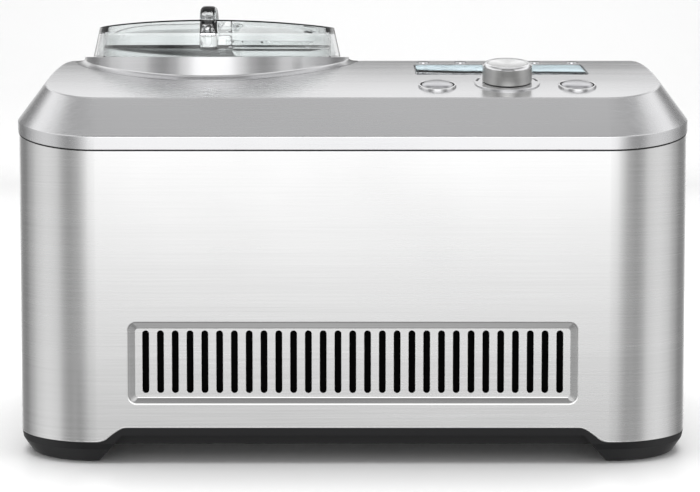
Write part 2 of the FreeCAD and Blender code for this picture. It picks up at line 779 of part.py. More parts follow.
def ice_bowl():
    """Removable bowl with a middle column and two ears for its bail."""
    inner = BOWL_R - BOWL_WALL
    floor = BOWL_FLOOR + BOWL_WALL
    low_rim = BOWL_TOP - BOWL_RIM
    points = [(COLUMN_BORE, BOWL_FLOOR), (BOWL_R, BOWL_FLOOR), (BOWL_R, low_rim), (BOWL_RIM_R, low_rim),
              (BOWL_RIM_R, BOWL_TOP), (inner, BOWL_TOP), (inner, floor), (COLUMN_R, floor),
              (COLUMN_R, COLUMN_TOP), (COLUMN_BORE, COLUMN_TOP)]
    bowl = revolve(points, BOWL_X)
    ears = []
    for sign in (-1, 1):
        x0, x1 = sorted((BOWL_X + sign * (inner + 0.5), BOWL_X + sign * (inner - EAR_T)))
        ear = rod_x(EAR_R, x0, x1, 0, BAIL_Z)
        ears.append(ear)
    bowl = bowl.fuse(ears)
    holes = [rod_x(BAIL_WIRE + 0.06, BOWL_X - inner - 0.2, BOWL_X + inner + 0.2, 0, BAIL_Z)]
    return bowl.cut(holes).removeSplitter()


def bowl_bail():
    """Wire handle that lies inside the rim and swings up."""
    half = Part.makeTorus(BAIL_R - 2.4, BAIL_WIRE, vec(BOWL_X, 0, BAIL_Z), vec(0, 0, 1))
    front = half.common(block(BOWL_X - 90, BOWL_X + 90, -90, 0, BAIL_Z - 5, BAIL_Z + 5))
    inner = BOWL_R - BOWL_WALL
    ends = [rod_x(BAIL_WIRE, BOWL_X + BAIL_R - 2.4 - BAIL_WIRE, BOWL_X + inner - 0.4, 0, BAIL_Z),
            rod_x(BAIL_WIRE, BOWL_X - inner + 0.4, BOWL_X - BAIL_R + 2.4 + BAIL_WIRE, 0, BAIL_Z)]
    grip = Part.makeTorus(BAIL_R - 2.4, BAIL_WIRE + 1.2, vec(BOWL_X, 0, BAIL_Z), vec(0, 0, 1))
    grip = grip.common(block(BOWL_X - 22, BOWL_X + 22, -90, 0, BAIL_Z - 5, BAIL_Z + 5))
    return front.fuse(ends + [grip]).removeSplitter()


def evaporator_coil():
    """Turns of cold pipe round the well, joined by a header."""
    reach = WELL_BORE + WELL_WALL + CLEAR + COIL_R
    turns = []
    for i in range(COIL_TURNS):
        turns.append(Part.makeTorus(reach, COIL_R, vec(BOWL_X, 0, COIL_LOW + COIL_PITCH * i), vec(0, 0, 1)))
    top = COIL_LOW + COIL_PITCH * (COIL_TURNS - 1)
    header = disc(COIL_R * 0.8, COIL_LOW, top, BOWL_X + reach, 0)
    return turns[0].fuse(turns[1:] + [header])


def well_insulation():
    """Foam cup round the coil, trimmed to the inside of the wrap."""
    bore = WELL_BORE + WELL_WALL + 2 * COIL_R + 2 * CLEAR
    foam = disc(FOAM_R, FOAM_LOW, FOAM_TOP, BOWL_X, 0)
    foam = foam.cut(disc(bore, WELL_BOTTOM - CLEAR, FOAM_TOP + 5, BOWL_X, 0))
    return foam.cut(disc(SHAFT_R + 8, 0, 300, BOWL_X, 0))


def well_gasket():
    """Soft ring between the foam and the collar's tube."""
    low = FOAM_TOP + CLEAR
    return ring(GASKET_R, WELL_BORE + WELL_WALL + CLEAR, low, low + GASKET_H, BOWL_X, 0)


def hexagon(flats, z0, z1, x):
    """Upright hexagonal bar."""
    r = flats / math.sqrt(3)
    points = [vec(x + r * math.cos(math.pi / 3 * i), r * math.sin(math.pi / 3 * i), z0) for i in range(7)]
    return Part.Face(Part.makePolygon(points)).extrude(vec(0, 0, z1 - z0))


def drive_shaft():
    """Shaft up the bowl's column with a hexagonal head."""
    shaft = disc(SHAFT_R, SHAFT_LOW, COLUMN_TOP + 0.5, BOWL_X, 0)
    head = hexagon(HEX_FLATS, COLUMN_TOP + 0.5, COLUMN_TOP + HEX_HEAD, BOWL_X)
    return shaft.fuse(head).removeSplitter()


def shaft_bush():
    """Bearing bush in the gearbox lid, up through the foam."""
    low = CASE_TOP + CASE_LID
    outer = SHAFT_R + 3
    sleeve = ring(outer, SHAFT_R + SHAFT_FIT, CASE_TOP + 0.2, WELL_BOTTOM - 3, BOWL_X, 0)
    collar = ring(outer + 4, SHAFT_R + SHAFT_FIT, low, low + 3, BOWL_X, 0)
    return sleeve.fuse(collar).removeSplitter()


def shaft_seal():
    """Lip seal between the bush and the well's bottom."""
    lip = SHAFT_R + SEAL_LIP
    low = WELL_BOTTOM - 2.7
    under = WELL_BOTTOM - 0.2
    high = WELL_BOTTOM + 2.0
    neck = SHAFT_R + 5.7
    flange = SHAFT_R + 7
    points = [(lip, low), (flange, low), (flange, under), (neck, under), (neck, high), (lip, high)]
    return revolve(points, BOWL_X)


def paddle():
    """Hub over the column and two open blades with scrapers."""
    hub_r = PIN_HUB_R + HUB_WALL
    top_in = COLUMN_TOP + HEX_HEAD + CLEAR
    hub = disc(hub_r, PADDLE_LOW, PADDLE_TOP + 1, BOWL_X, 0)
    bar = block(BOWL_X - BLADE_R, BOWL_X + BLADE_R, -BLADE_T, BLADE_T, PADDLE_TOP - 9, PADDLE_TOP)
    foot = block(BOWL_X - BLADE_R, BOWL_X + BLADE_R, -BLADE_T, BLADE_T, PADDLE_LOW, PADDLE_LOW + 8)
    parts = [bar, foot]
    for sign in (-1, 1):
        x0, x1 = sorted((BOWL_X + sign * BLADE_R, BOWL_X + sign * (BLADE_R - 9)))
        parts.append(block(x0, x1, -BLADE_T, BLADE_T, PADDLE_LOW, PADDLE_TOP))
        x0, x1 = sorted((BOWL_X + sign * 34, BOWL_X + sign * 40))
        parts.append(block(x0, x1, -BLADE_T, BLADE_T, PADDLE_LOW, PADDLE_TOP))
    frame = fuse_all([hub] + parts).common(disc(BLADE_R, 0, 300, BOWL_X, 0))
    frame = frame.cut(disc(PIN_HUB_R, PADDLE_LOW - 5, COLUMN_TOP + 0.8, BOWL_X, 0))
    return frame.cut(hexagon(HEX_FLATS + 2 * CLEAR, COLUMN_TOP, top_in, BOWL_X))


# ---- lid ---------------------------------------------------------------------


def lid_wall_r(z):
    """Outer radius of the lid's leaning skirt at a height."""
    foot = COLLAR_TOP + CLEAR
    return LID_FOOT_R - (LID_FOOT_R - LID_TOP_R) / (LID_SIDE_TOP - foot) * (z - foot)


def lid():
    """Clear tray-like lid: leaning skirt, hollow rim, upright inner wall and dished floor."""
    foot = COLLAR_TOP + CLEAR
    crown = LID_SIDE_TOP + LID_CROWN
    inner = LID_BORE
    web = LID_FLOOR_EDGE - LID_WALL
    roof = LID_SIDE_TOP - LID_WALL - 2
    body = revolve([(0, foot - 1.5), (LID_FOOT_R - LID_WALL, foot - 1.5), (LID_FOOT_R - LID_WALL, foot),
                    (LID_FOOT_R, foot), (lid_wall_r(crown), crown), (0, crown)], BOWL_X)
    dish_r = (inner ** 2 + LID_DISH ** 2) / (2 * LID_DISH)
    centre = LID_FLOOR_EDGE - LID_DISH + dish_r
    hollow = disc(inner, LID_FLOOR_EDGE - LID_DISH - 1, LID_FLOOR_EDGE, BOWL_X, 0)
    hollow = hollow.common(Part.makeSphere(dish_r, vec(BOWL_X, 0, centre)))
    hollow = hollow.fuse(disc(inner, LID_FLOOR_EDGE - 0.02, crown + 1, BOWL_X, 0))
    under = disc(inner + LID_WALL, foot - 3, web, BOWL_X, 0)
    keep = Part.makeSphere(dish_r + LID_WALL, vec(BOWL_X, 0, centre))
    keep = keep.common(disc(inner - 0.5, foot - 3, web + 1, BOWL_X, 0))
    channel = revolve([(inner + LID_WALL - 0.01, foot - 3), (lid_wall_r(foot - 3) - LID_WALL, foot - 3),
                       (lid_wall_r(roof) - LID_WALL, roof), (inner + LID_WALL - 0.01, roof)], BOWL_X)
    body = body.cut(under.cut(keep)).cut(channel).cut(hollow)
    radius = (LID_TOP_R ** 2 + LID_CROWN ** 2) / (2 * LID_CROWN)
    arch = Part.makeCylinder(radius, 240, vec(BOWL_X, -120, crown - radius), vec(0, 1, 0))
    body = body.common(arch)
    body = body.cut(hatch_plan(0.0, 225, 262))
    slot_half = HANDLE_W / 2 + 0.05
    gap_front = HANDLE_FOOT + 0.05 - HANDLE_FRONT
    gap_back = HANDLE_BACK - HANDLE_FOOT - 0.05
    for y0, y1 in ((-HANDLE_FRONT - 10, gap_front), (gap_back, HANDLE_BACK + 10)):
        body = body.cut(block(BOWL_X - slot_half, BOWL_X + slot_half, y0, y1, web, crown + 5))
    for y in hatch_ears():
        x0 = BOWL_X + HATCH_X - 5.5
        x1 = BOWL_X + HATCH_X - 0.6
        body = body.fuse(block(x0, x1, y - 3, y + 3, hinge_z() - 7.0, hinge_z() + 2.4))
        body = body.cut(rod_y(HATCH_PIN_R, y - 6, y + 6, hinge_x(), hinge_z()))
    return body.removeSplitter()


def hatch_ears():
    """Places of the hatch's hinge ears along the handle."""
    return (-30.0, 30.0)


def hinge_x():
    """X of the hatch's hinge axis."""
    return BOWL_X + HATCH_X - 3


def hinge_z():
    """Height of the hatch's hinge axis."""
    return LID_FLOOR_EDGE + 1.6


def hatch_plan(shrink, z0, z1):
    """Half-moon on the right of the lid, smaller by a margin all round."""
    moon = disc(HATCH_R - shrink, z0, z1, BOWL_X, 0)
    side = block(BOWL_X + HATCH_X + shrink, BOWL_X + 90, -90, 90, z0, z1)
    return moon.common(side)


def lid_hatch():
    """Half-moon flap for adding pieces while the bowl turns."""
    low = LID_FLOOR_EDGE - 0.9
    plate = hatch_plan(0.5, low, low + HATCH_T)
    lip = hatch_plan(-2.0, low + HATCH_T, low + HATCH_T + 1.2)
    lip = lip.common(block(BOWL_X + HATCH_X + 1.5, BOWL_X + 90, -90, 90, 0, 300))
    tab = block(BOWL_X + HATCH_R - 4, BOWL_X + HATCH_R + 6.5, -7, 7, low + HATCH_T + 1.2, low + HATCH_T + 5)
    arms = []
    for y in hatch_ears():
        for side in (-1, 1):
            centre = y + side * 5.5
            x0 = BOWL_X + HATCH_X - 4.6
            x1 = BOWL_X + HATCH_X + 3
            arms.append(block(x0, x1, centre - 2, centre + 2, low + HATCH_T, hinge_z() + 1.6))
    flap = fuse_all([plate, lip, tab] + arms)
    holes = [rod_y(HATCH_PIN_R + SHAFT_FIT, y - 9, y + 9, hinge_x(), hinge_z()) for y in hatch_ears()]
    return flap.cut(holes)


def hatch_pins():
    """Hinge pins held in the lid's ears."""
    pins = [rod_y(HATCH_PIN_R, y - 7.5, y + 7.5, hinge_x(), hinge_z()) for y in hatch_ears()]
    return Part.makeCompound(pins)


def handle_profile(low, grow):
    """Outline of the handle in the plane x = 0, larger by a margin."""
    front = -HANDLE_FRONT - grow
    crest = HANDLE_TOP + grow
    back = HANDLE_BACK + grow
    step = HANDLE_REAR_TOP + grow
    points = [vec(0, front, low), vec(0, front, crest - 8), vec(0, front + 1.4, crest - 3.2),
              vec(0, front + 4.6, crest - 0.6), vec(0, front + 9, crest), vec(0, front + 14, crest - 1.2),
              vec(0, front + 20, crest - 5.5), vec(0, front + 28, step + 2.2), vec(0, front + 40, step + 0.4),
              vec(0, front + 52, step)]
    curve = Part.BSplineCurve()
    curve.interpolate(points[1:])
    edges = [Part.LineSegment(points[0], points[1]).toShape(), curve.toShape(),
             Part.LineSegment(points[-1], vec(0, back - 4, step)).toShape(),
             Part.LineSegment(vec(0, back - 4, step), vec(0, back, step - 4)).toShape(),
             Part.LineSegment(vec(0, back, step - 4), vec(0, back, low)).toShape(),
             Part.LineSegment(vec(0, back, low), points[0]).toShape()]
    return Part.Face(Part.Wire(edges))


def lid_handle():
    """Clear fin, tall at the front rim and low behind, with a finger gap and a pocket in its front."""
    foot = LID_FLOOR_EDGE - LID_WALL + 0.05
    half = HANDLE_W / 2
    fin = handle_profile(foot, 0.0).extrude(vec(HANDLE_W, 0, 0)).translated(vec(-half, 0, 0))
    sides = [e for e in fin.Edges if e.BoundBox.XLength < 0.01 and e.BoundBox.ZMax > foot + 1]
    fin = fin.makeFillet(HANDLE_EDGE_R, sides)
    gap_front = HANDLE_FOOT - HANDLE_FRONT
    gap_back = HANDLE_BACK - HANDLE_FOOT
    gap = block(-HANDLE_W, HANDLE_W, gap_front, gap_back, foot - 20, HANDLE_REAR_TOP - HANDLE_BAR)
    roof = [e for e in gap.Edges if e.BoundBox.XLength > 1 and e.BoundBox.ZMin > foot]
    gap = gap.makeFillet(2.5, roof)
    pocket = rounded_box(0, 0, POCKET_W / 2, POCKET_H / 2, POCKET_W / 2 - 0.01, 0, POCKET_DEEP + 1)
    pocket = facing_y(pocket, 0, -HANDLE_FRONT - 1, POCKET_Z)
    return fin.cut([gap, pocket]).translated(vec(BOWL_X, 0, 0))


def lid_seal():
    """Soft ring under the lid that meets the bowl's rim."""
    low = BOWL_TOP + CLEAR
    return ring(SEAL_OUT, SEAL_IN, low, LID_FLOOR_EDGE - LID_WALL, BOWL_X, 0)


# ---- controls ----------------------------------------------------------------


def lcd_window():
    """Clear cover of the display, flush with the deck."""
    return on_deck(rounded_box(0, 0, LCD_W / 2, LCD_D / 2, LCD_R, -LCD_T, -0.1), LCD_X, LCD_Y)


def lcd_module():
    """Display behind the window."""
    body = rounded_box(0, 0, LCD_W / 2 + 2, LCD_D / 2 + 2, 2, -LCD_T - 6, -LCD_T - 0.5)
    return on_deck(body, LCD_X, LCD_Y)


def control_board():
    """Board that carries the display, switches and encoder."""
    return board_solid()


def dial_ring():
    """Thin plate on the deck round the dial."""
    plate = ring(DIAL_RING_R, DIAL_STEM_R + 1.2, 0.06, DIAL_RING_T)
    plate = on_deck(plate, DIAL_X, DIAL_Y)
    return plate.cut(roll(DECK_R + 0.05, DECK_AXIS_Z))


def dial_knob():
    """Turned knob with a bevelled edge, a shallow pocket on top and a stem."""
    low = DIAL_RING_T + CLEAR
    top = low + DIAL_H
    points = [(0, low), (DIAL_R, low), (DIAL_R, top - DIAL_EDGE), (DIAL_R - DIAL_EDGE, top),
              (DIAL_CAP_R + 0.1, top), (DIAL_CAP_R + 0.1, top - DIAL_CAP_DEEP), (0, top - DIAL_CAP_DEEP)]
    knob = revolve(points).fuse(disc(DIAL_STEM_R, -BOARD_DROP + 4, low + 1)).removeSplitter()
    return on_deck(knob, DIAL_X, DIAL_Y)


def dial_cap():
    """Spun disc set in the top of the knob."""
    base = DIAL_RING_T + CLEAR + DIAL_H - DIAL_CAP_DEEP
    return on_deck(disc(DIAL_CAP_R, base, base + 0.8), DIAL_X, DIAL_Y)


def dial_encoder():
    """Encoder on the board, with the stem's bore."""
    body = rounded_box(0, 0, 7, 7, 1, -BOARD_DROP - 8, -BOARD_DROP + 8)
    body = body.cut(disc(DIAL_STEM_R + SHAFT_FIT, -BOARD_DROP + 3, 0))
    return on_deck(body, DIAL_X, DIAL_Y).cut(board_under())


def board_under():
    """Everything below the board's upper face."""
    flat = rounded_box(0, 0, BOARD_W, BOARD_D, 3, -BOARD_DROP - 60, -BOARD_DROP)
    return on_deck(flat, PANEL_X, BOARD_Y)


def push_button(r, low, high, dome):
    """Cap with a domed top and a stem, built about the deck's normal."""
    cap = disc(r, low, high)
    if dome > 0:
        ball_r = (r ** 2 + dome ** 2) / (2 * dome)
        ball = Part.makeSphere(ball_r, vec(0, 0, high + dome - ball_r))
        cap = cap.fuse(ball.common(disc(r, high - 0.5, high + dome + 1)))
    stem = disc(STEM_R, button_foot(), low + 0.5)
    return cap.fuse(stem).removeSplitter()


def button_foot():
    """Bottom of a button's stem, from the deck."""
    return -BOARD_DROP + 7.0


def power_button():
    """Left round button."""
    return on_deck(push_button(BUTTON_R, -BUTTON_H + 1.4, 1.4, BUTTON_DOME), POWER_X, BUTTON_Y)


def start_button():
    """Right round button."""
    return on_deck(push_button(BUTTON_R, -BUTTON_H + 1.4, 1.4, BUTTON_DOME), START_X, BUTTON_Y)


def button_rings():
    """Polished rings round the two large buttons."""
    rings = []
    for x in (POWER_X, START_X):
        flat = ring(BUTTON_RING_R, BUTTON_R + BUTTON_GAP, -1, BUTTON_RING_T)
        rings.append(on_deck(flat, x, BUTTON_Y).cut(roll(DECK_R + 0.05, DECK_AXIS_Z)))
    return Part.makeCompound(rings)


def mode_button(x):
    """One small button of the row behind the display."""
    return on_deck(push_button(MODE_R, -MODE_H + MODE_PROUD, MODE_PROUD, 0), x, MODE_Y)


def button_switches():
    """A switch on the board under each button's stem."""
    out = []
    top = button_foot() - CLEAR - TRAVEL
    places = [(POWER_X, BUTTON_Y), (START_X, BUTTON_Y)] + [(x, MODE_Y) for x in mode_places()]
    for x, y in places:
        body = on_deck(disc(3.4, -BOARD_DROP - 8, top), x, y).cut(board_under())
        out.append(body)
    return Part.makeCompound(out)


# ---- gear train ----------------------------------------------------------------


def gear_profile(teeth, phase):
    """Outline of an involute spur gear about the origin, one tooth at the phase angle."""
    pitch_r = MODULE * teeth / 2
    base_r = pitch_r * math.cos(math.radians(PRESSURE))
    tip_r = pitch_r + 0.92 * MODULE
    root_r = pitch_r - 1.25 * MODULE
    lean = math.tan(math.radians(PRESSURE)) - math.radians(PRESSURE)
    half = math.pi / (2 * teeth) - BACKLASH / (2 * pitch_r) + lean
    low_r = max(base_r, root_r)

    def flank(r):
        """Half the tooth's angle at a radius."""
        turn = math.acos(min(1.0, base_r / r))
        return half - (math.tan(turn) - turn)

    def spot(r, angle):
        """Point in the gear's plane."""
        return vec(r * math.cos(angle), r * math.sin(angle), 0)

    steps = 4
    radii = [low_r + (tip_r - low_r) * i / steps for i in range(steps + 1)]
    pitch = 2 * math.pi / teeth
    edges = []
    for index in range(teeth):
        middle = math.radians(phase) + pitch * index
        rise = [spot(r, middle - flank(r)) for r in radii]
        fall = [spot(r, middle + flank(r)) for r in reversed(radii)]
        next_root = middle + pitch - flank(low_r)
        start = spot(root_r, middle - flank(low_r))
        end = spot(root_r, middle + flank(low_r))
        if low_r > root_r + 1e-6:
            edges.append(Part.LineSegment(start, rise[0]).toShape())
        up = Part.BSplineCurve()
        up.interpolate(rise)
        edges.append(up.toShape())
        edges.append(Part.Arc(rise[-1], spot(tip_r, middle), fall[0]).toShape())
        down = Part.BSplineCurve()
        down.interpolate(fall)
        edges.append(down.toShape())
        if low_r > root_r + 1e-6:
            edges.append(Part.LineSegment(fall[-1], end).toShape())
        valley = spot(root_r, (middle + flank(low_r) + next_root) / 2)
        edges.append(Part.Arc(end, valley, spot(root_r, next_root)).toShape())
    return Part.Wire(edges)


def gear(teeth, phase, x):
    """Spur gear standing at its place in the train."""
    return prism(gear_profile(teeth, phase), GEAR_T).translated(vec(x, 0, GEAR_LOW))


def output_gear():
    """Large gear on the drive shaft, one tooth towards the idler."""
    hub = disc(SHAFT_R + 4, GEAR_LOW - 2, GEAR_LOW + GEAR_T + 4, BOWL_X, 0)
    return gear(TEETH_OUT, 0.0, BOWL_X).fuse(hub).cut(disc(SHAFT_R + 0.02, 0, 90, BOWL_X, 0))


def idler_gear():
    """Middle gear, with gaps towards both of its neighbours."""
    hub = disc(IDLER_PIN_R + 3, CASE_LOW + CASE_FLOOR + CLEAR, CASE_TOP - CLEAR, IDLER_X, 0)
    body = gear(TEETH_IDLER, 180.0 / TEETH_IDLER, IDLER_X).fuse(hub)
    return body.cut(disc(IDLER_PIN_R + SHAFT_FIT, 0, 90, IDLER_X, 0))


def idler_pin():
    """Pin that the middle gear turns on."""
    return disc(IDLER_PIN_R, CASE_LOW + CASE_FLOOR - 1.5, CASE_TOP - 0.1, IDLER_X, 0)


def motor_rotor():
    """Rotor with its shaft and pinion."""
    shaft = disc(ROTOR_R, GEAR_LOW - 2, MOTOR_TOP - 1.0, MOTOR_X, 0)
    core = disc(MOTOR_R - 5.5, CASE_TOP + CASE_LID + 8, MOTOR_TOP - 7, MOTOR_X, 0)
    pinion = gear(TEETH_PINION, 0.0, MOTOR_X)
    return pinion.fuse([shaft, core]).removeSplitter()


def motor_case():
    """Can of the motor, with a bearing hole at each end."""
    low = CASE_TOP + CASE_LID
    bore = ROTOR_R + SHAFT_FIT
    can = ring(MOTOR_R, bore, low, MOTOR_TOP, MOTOR_X, 0)
    return can.cut(disc(MOTOR_R - 3, low + 4, MOTOR_TOP - 3, MOTOR_X, 0))


def case_ends():
    """Left and right ends of the gearbox."""
    left = BOWL_X - MODULE * TEETH_OUT / 2 - 8
    right = MOTOR_X + MODULE * TEETH_PINION / 2 + 8
    return left, right


def case_half_depth():
    """Half the gearbox, front to back."""
    return MODULE * TEETH_OUT / 2 + 8


def case_blank(shrink, z0, z1):
    """Block of the gearbox's outline, smaller by a margin."""
    left, right = case_ends()
    mid = (left + right) / 2
    half = (right - left) / 2 - shrink
    return rounded_box(mid, 0, half, case_half_depth() - shrink, 14 - shrink, z0, z1)


def case_legs():
    """Centres of the posts under the gearbox."""
    left, right = case_ends()
    reach = case_half_depth() - 12
    return [(x, sy * reach) for x in (left + 12, right - 12) for sy in (-1, 1)]


def case_bosses():
    """Centres of the gearbox's screws."""
    left, right = case_ends()
    reach = case_half_depth() - 6
    return [(x, sy * reach) for x in (left + 6, right - 6) for sy in (-1, 1)]


def gearbox_case():
    """Open box under the gears, with screw bosses and a thrust pad."""
    case = case_blank(0, CASE_LOW, CASE_TOP).cut(case_blank(CASE_WALL, CASE_LOW + CASE_FLOOR, CASE_TOP + 5))
    bosses = [disc(4, CASE_LOW + 1, CASE_TOP, x, y) for x, y in case_bosses()]
    case = case.fuse(bosses + [disc(9, CASE_LOW + 1, SHAFT_LOW - CLEAR, BOWL_X, 0)])
    holes = [disc(CASE_SCREW_R + 0.02, CASE_TOP - 12, CASE_TOP + 5, x, y) for x, y in case_bosses()]
    holes.append(disc(IDLER_PIN_R + 0.02, CASE_LOW + CASE_FLOOR - 1.5, CASE_TOP + 5, IDLER_X, 0))
    return case.cut(holes).removeSplitter()


def gearbox_lid():
    """Plate over the gears that carries the bush and the motor."""
    plate = case_blank(0, CASE_TOP, CASE_TOP + CASE_LID)
    holes = [disc(CASE_SCREW_R + 0.2, 0, 90, x, y) for x, y in case_bosses()]
    holes.append(disc(SHAFT_R + 3.05, 0, 90, BOWL_X, 0))
    holes.append(disc(ROTOR_R + 0.8, 0, 90, MOTOR_X, 0))
    return plate.cut(holes)


def gearbox_screws():
    """Four screws of the gearbox lid."""
    low = CASE_TOP + CASE_LID
    screws = []
    for x, y in case_bosses():
        shank = disc(CASE_SCREW_R, low - 12, low, x, y)
        head = disc(3, low, low + 1.6, x, y)
        screws.append(shank.fuse(head).removeSplitter())
    return Part.makeCompound(screws)


# ---- cold circuit ----------------------------------------------------------------


def compressor():
    """Sealed steel can on a four-hole foot plate."""
    can = disc(COMP_R, COMP_LOW + 1, COMP_TOP, COMP_X, COMP_Y)
    top = [e for e in can.Edges if abs(e.BoundBox.ZMin - COMP_TOP) < 0.01 and e.BoundBox.ZLength < 0.01]
    can = can.makeFillet(22.0, top)
    middle = (COMP_LOW + COMP_TOP) / 2
    belt = disc(COMP_R + 1.5, middle, middle + 5, COMP_X, COMP_Y)
    half_x = COMP_PITCH_X / 2 + 12
    half_y = COMP_PITCH_Y / 2 + 12
    plate = rounded_box(COMP_X, COMP_Y, half_x, half_y, 12, COMP_LOW, COMP_LOW + COMP_FOOT_T)
    body = fuse_all([can, belt, plate])
    return body.cut([disc(MOUNT_PIN + 0.3, 0, COMP_LOW + 8, x, y) for x, y in comp_feet()])


def compressor_mounts():
    """Rubber sleeves between the tray's pins and the foot plate."""
    return Part.makeCompound([ring(MOUNT_R, MOUNT_PIN + CLEAR, FLOOR_TOP + 0.02, COMP_LOW - 0.02, x, y)
                              for x, y in comp_feet()])


def condenser():
    """Finned pipe block behind the front vent."""
    low = FLOOR_TOP + CLEAR
    x0 = COND_X - COND_W / 2
    fins = []
    for i in range(FINS):
        x = x0 + (COND_W - FIN_T) * i / (FINS - 1)
        fins.append(block(x, x + FIN_T, COND_Y - COND_D / 2, COND_Y + COND_D / 2, low, low + COND_H))
    rows = 4
    levels = [low + COND_H * (i + 0.5) / rows for i in range(rows)]
    tubes = [rod_x(COND_TUBE_R, x0 - 4, x0 + COND_W + 4, COND_Y, level) for level in levels]
    return tubes[0].fuse(tubes[1:] + fins)


def fan_z():
    """Height of the fan's axis."""
    return FLOOR_TOP + CLEAR + FAN_SIZE / 2


def fan_frame():
    """Square frame of the fan with its ring, struts and bearing hub."""
    half = FAN_SIZE / 2
    front = FAN_Y - FAN_T / 2
    back = FAN_Y + FAN_T / 2
    frame = facing_y(rounded_box(0, 0, half, half, 5, 0, FAN_T), COND_X, front, fan_z())
    frame = frame.cut(rod_y(FAN_R + 1.5, front - 5, back + 5, COND_X, fan_z()))
    parts = [rod_y(FAN_HUB_R - 1, back - 3, back, COND_X, fan_z())]
    for i in range(3):
        strut = block(-2, 2, back - 3, back, 0, FAN_R + 3)
        strut.rotate(vec(0, 0, 0), vec(0, 1, 0), 120 * i + 60)
        parts.append(strut.translated(vec(COND_X, 0, fan_z())))
    frame = fuse_all([frame] + parts)
    return frame.cut(rod_y(2.0 + SHAFT_FIT, back - 10, back + 5, COND_X, fan_z()))


def fan_rotor():
    """Hub, axle and pitched blades."""
    front = FAN_Y - FAN_T / 2 + 2
    back = FAN_Y + FAN_T / 2 - 4
    parts = [rod_y(FAN_HUB_R, front, back, 0, 0), rod_y(2.0, back - 2, back + 3.5, 0, 0)]
    for i in range(FAN_BLADES):
        blade = block(-13, 13, -0.9, 0.9, FAN_HUB_R - 2, FAN_R + 4)
        blade.rotate(vec(0, 0, 0), vec(0, 0, 1), 32)
        blade.translate(vec(0, (front + back) / 2, 0))
        blade.rotate(vec(0, 0, 0), vec(0, 1, 0), 360.0 * i / FAN_BLADES)
        parts.append(blade.common(rod_y(FAN_R, front, back, 0, 0)))
    return fuse_all(parts).translated(vec(COND_X, 0, fan_z()))


def pipe(points, r=PIPE_R):
    """Copper pipe of straight runs joined by tangent bends."""
    edges = []
    start = points[0]
    for before, corner, after in zip(points, points[1:], points[2:]):
        inward = corner.sub(before)
        onward = after.sub(corner)
        turn = inward.getAngle(onward)
        back = PIPE_BEND * math.tan(turn / 2)
        enter = corner.sub(vec(*inward).normalize().multiply(back))
        leave = corner.add(vec(*onward).normalize().multiply(back))
        pull = enter.add(leave).multiply(0.5).sub(corner)
        reach = PIPE_BEND / math.cos(turn / 2) - PIPE_BEND
        middle = corner.add(pull.normalize().multiply(reach))
        edges.append(Part.LineSegment(start, enter).toShape())
        edges.append(Part.Arc(enter, middle, leave).toShape())
        start = leave
    edges.append(Part.LineSegment(start, points[-1]).toShape())
    first = points[1].sub(points[0])
    section = Part.Wire(Part.Circle(points[0], first, r).toShape())
    return Part.Wire(edges).makePipeShell([section], True, False)


def drier_place():
    """Axis of the filter drier."""
    return COND_X - COND_W / 2 - 16, COND_Y + 34


def foam_edge(y):
    """X of the foam's right side at a depth."""
    return BOWL_X + math.sqrt((FOAM_R + CLEAR) ** 2 - y ** 2)


def refrigerant_pipes():
    """Pipes between compressor, condenser, drier and the coil round the well."""
    high = COMP_TOP - 52
    right = COND_X + COND_W / 2 - 10
    cond_top = FLOOR_TOP + COND_H + 2 * CLEAR
    front = COMP_Y - COMP_R - CLEAR
    dx, dy = drier_place()
    low = FLOOR_TOP + 14.0
    hot = pipe([vec(COMP_X, front, high), vec(COMP_X, front - 22, high), vec(right, front - 30, high),
                vec(right, COND_Y, high), vec(right, COND_Y, cond_top)])
    liquid = pipe([vec(COND_X - COND_W / 2 - 4.5, COND_Y, low), vec(dx, COND_Y, low), vec(dx, dy, low),
                   vec(dx, dy, 59.7)])
    side = -56.0
    foam = foam_edge(side) + 3.4
    feed = pipe([vec(dx, dy, 130.3), vec(dx, dy, 150), vec(dx, side, 150), vec(foam, side, 150)])
    back = pipe([vec(foam_edge(22) + 0.8, 22, 196), vec(COMP_X - 60, 22, 196), vec(COMP_X, COMP_Y, 196),
                 vec(COMP_X, COMP_Y, COMP_TOP + CLEAR)])
    return Part.makeCompound([hot, liquid, feed, back])


def filter_drier():
    """Copper capsule in the liquid line."""
    x, y = drier_place()
    body = disc(DRIER_R, 60, 130, x, y)
    return body.makeFillet(4.0, [e for e in body.Edges if e.BoundBox.ZLength < 0.01])


def main_board():
    """Power board on the rear panel's posts, with its larger components."""
    back = HALF_D - WRAP_IN - CLEAR - REAR_WALL - 15
    x = -52.0
    z = REAR_Z - 14
    plate = facing_y(rounded_box(0, 0, BOARD_MAIN_W / 2, BOARD_MAIN_H / 2, 2, -BOARD_T, 0), x, back, z)
    front = back - BOARD_T
    parts = [plate, block(x - 36, x - 16, front - 9, front + 0.5, z - 22, z - 2),
             block(x + 8, x + 34, front - 8, front + 0.5, z - 24, z - 6),
             rod_y(6, front - 10, front + 0.5, x - 20, z + 14), rod_y(6, front - 10, front + 0.5, x, z + 14),
             block(x + 16, x + 30, front - 7, front + 0.5, z + 4, z + 22)]
    return fuse_all(parts)


def cord_gland():
    """Plain bush that the supply lead would pass through."""
    back = HALF_D - WRAP_IN - CLEAR
    face = back + WRAP_IN - 0.58
    body = rod_y(GLAND_R, face - GLAND_LEN, face, GLAND_X, GLAND_Z)
    flange = rod_y(GLAND_R + 2.5, face, face + 0.7, GLAND_X, GLAND_Z)
    return fuse_all([body, flange]).cut(rod_y(GLAND_BORE, face - 30, face + 5, GLAND_X, GLAND_Z))


# ---- all nodes -----------------------------------------------------------------


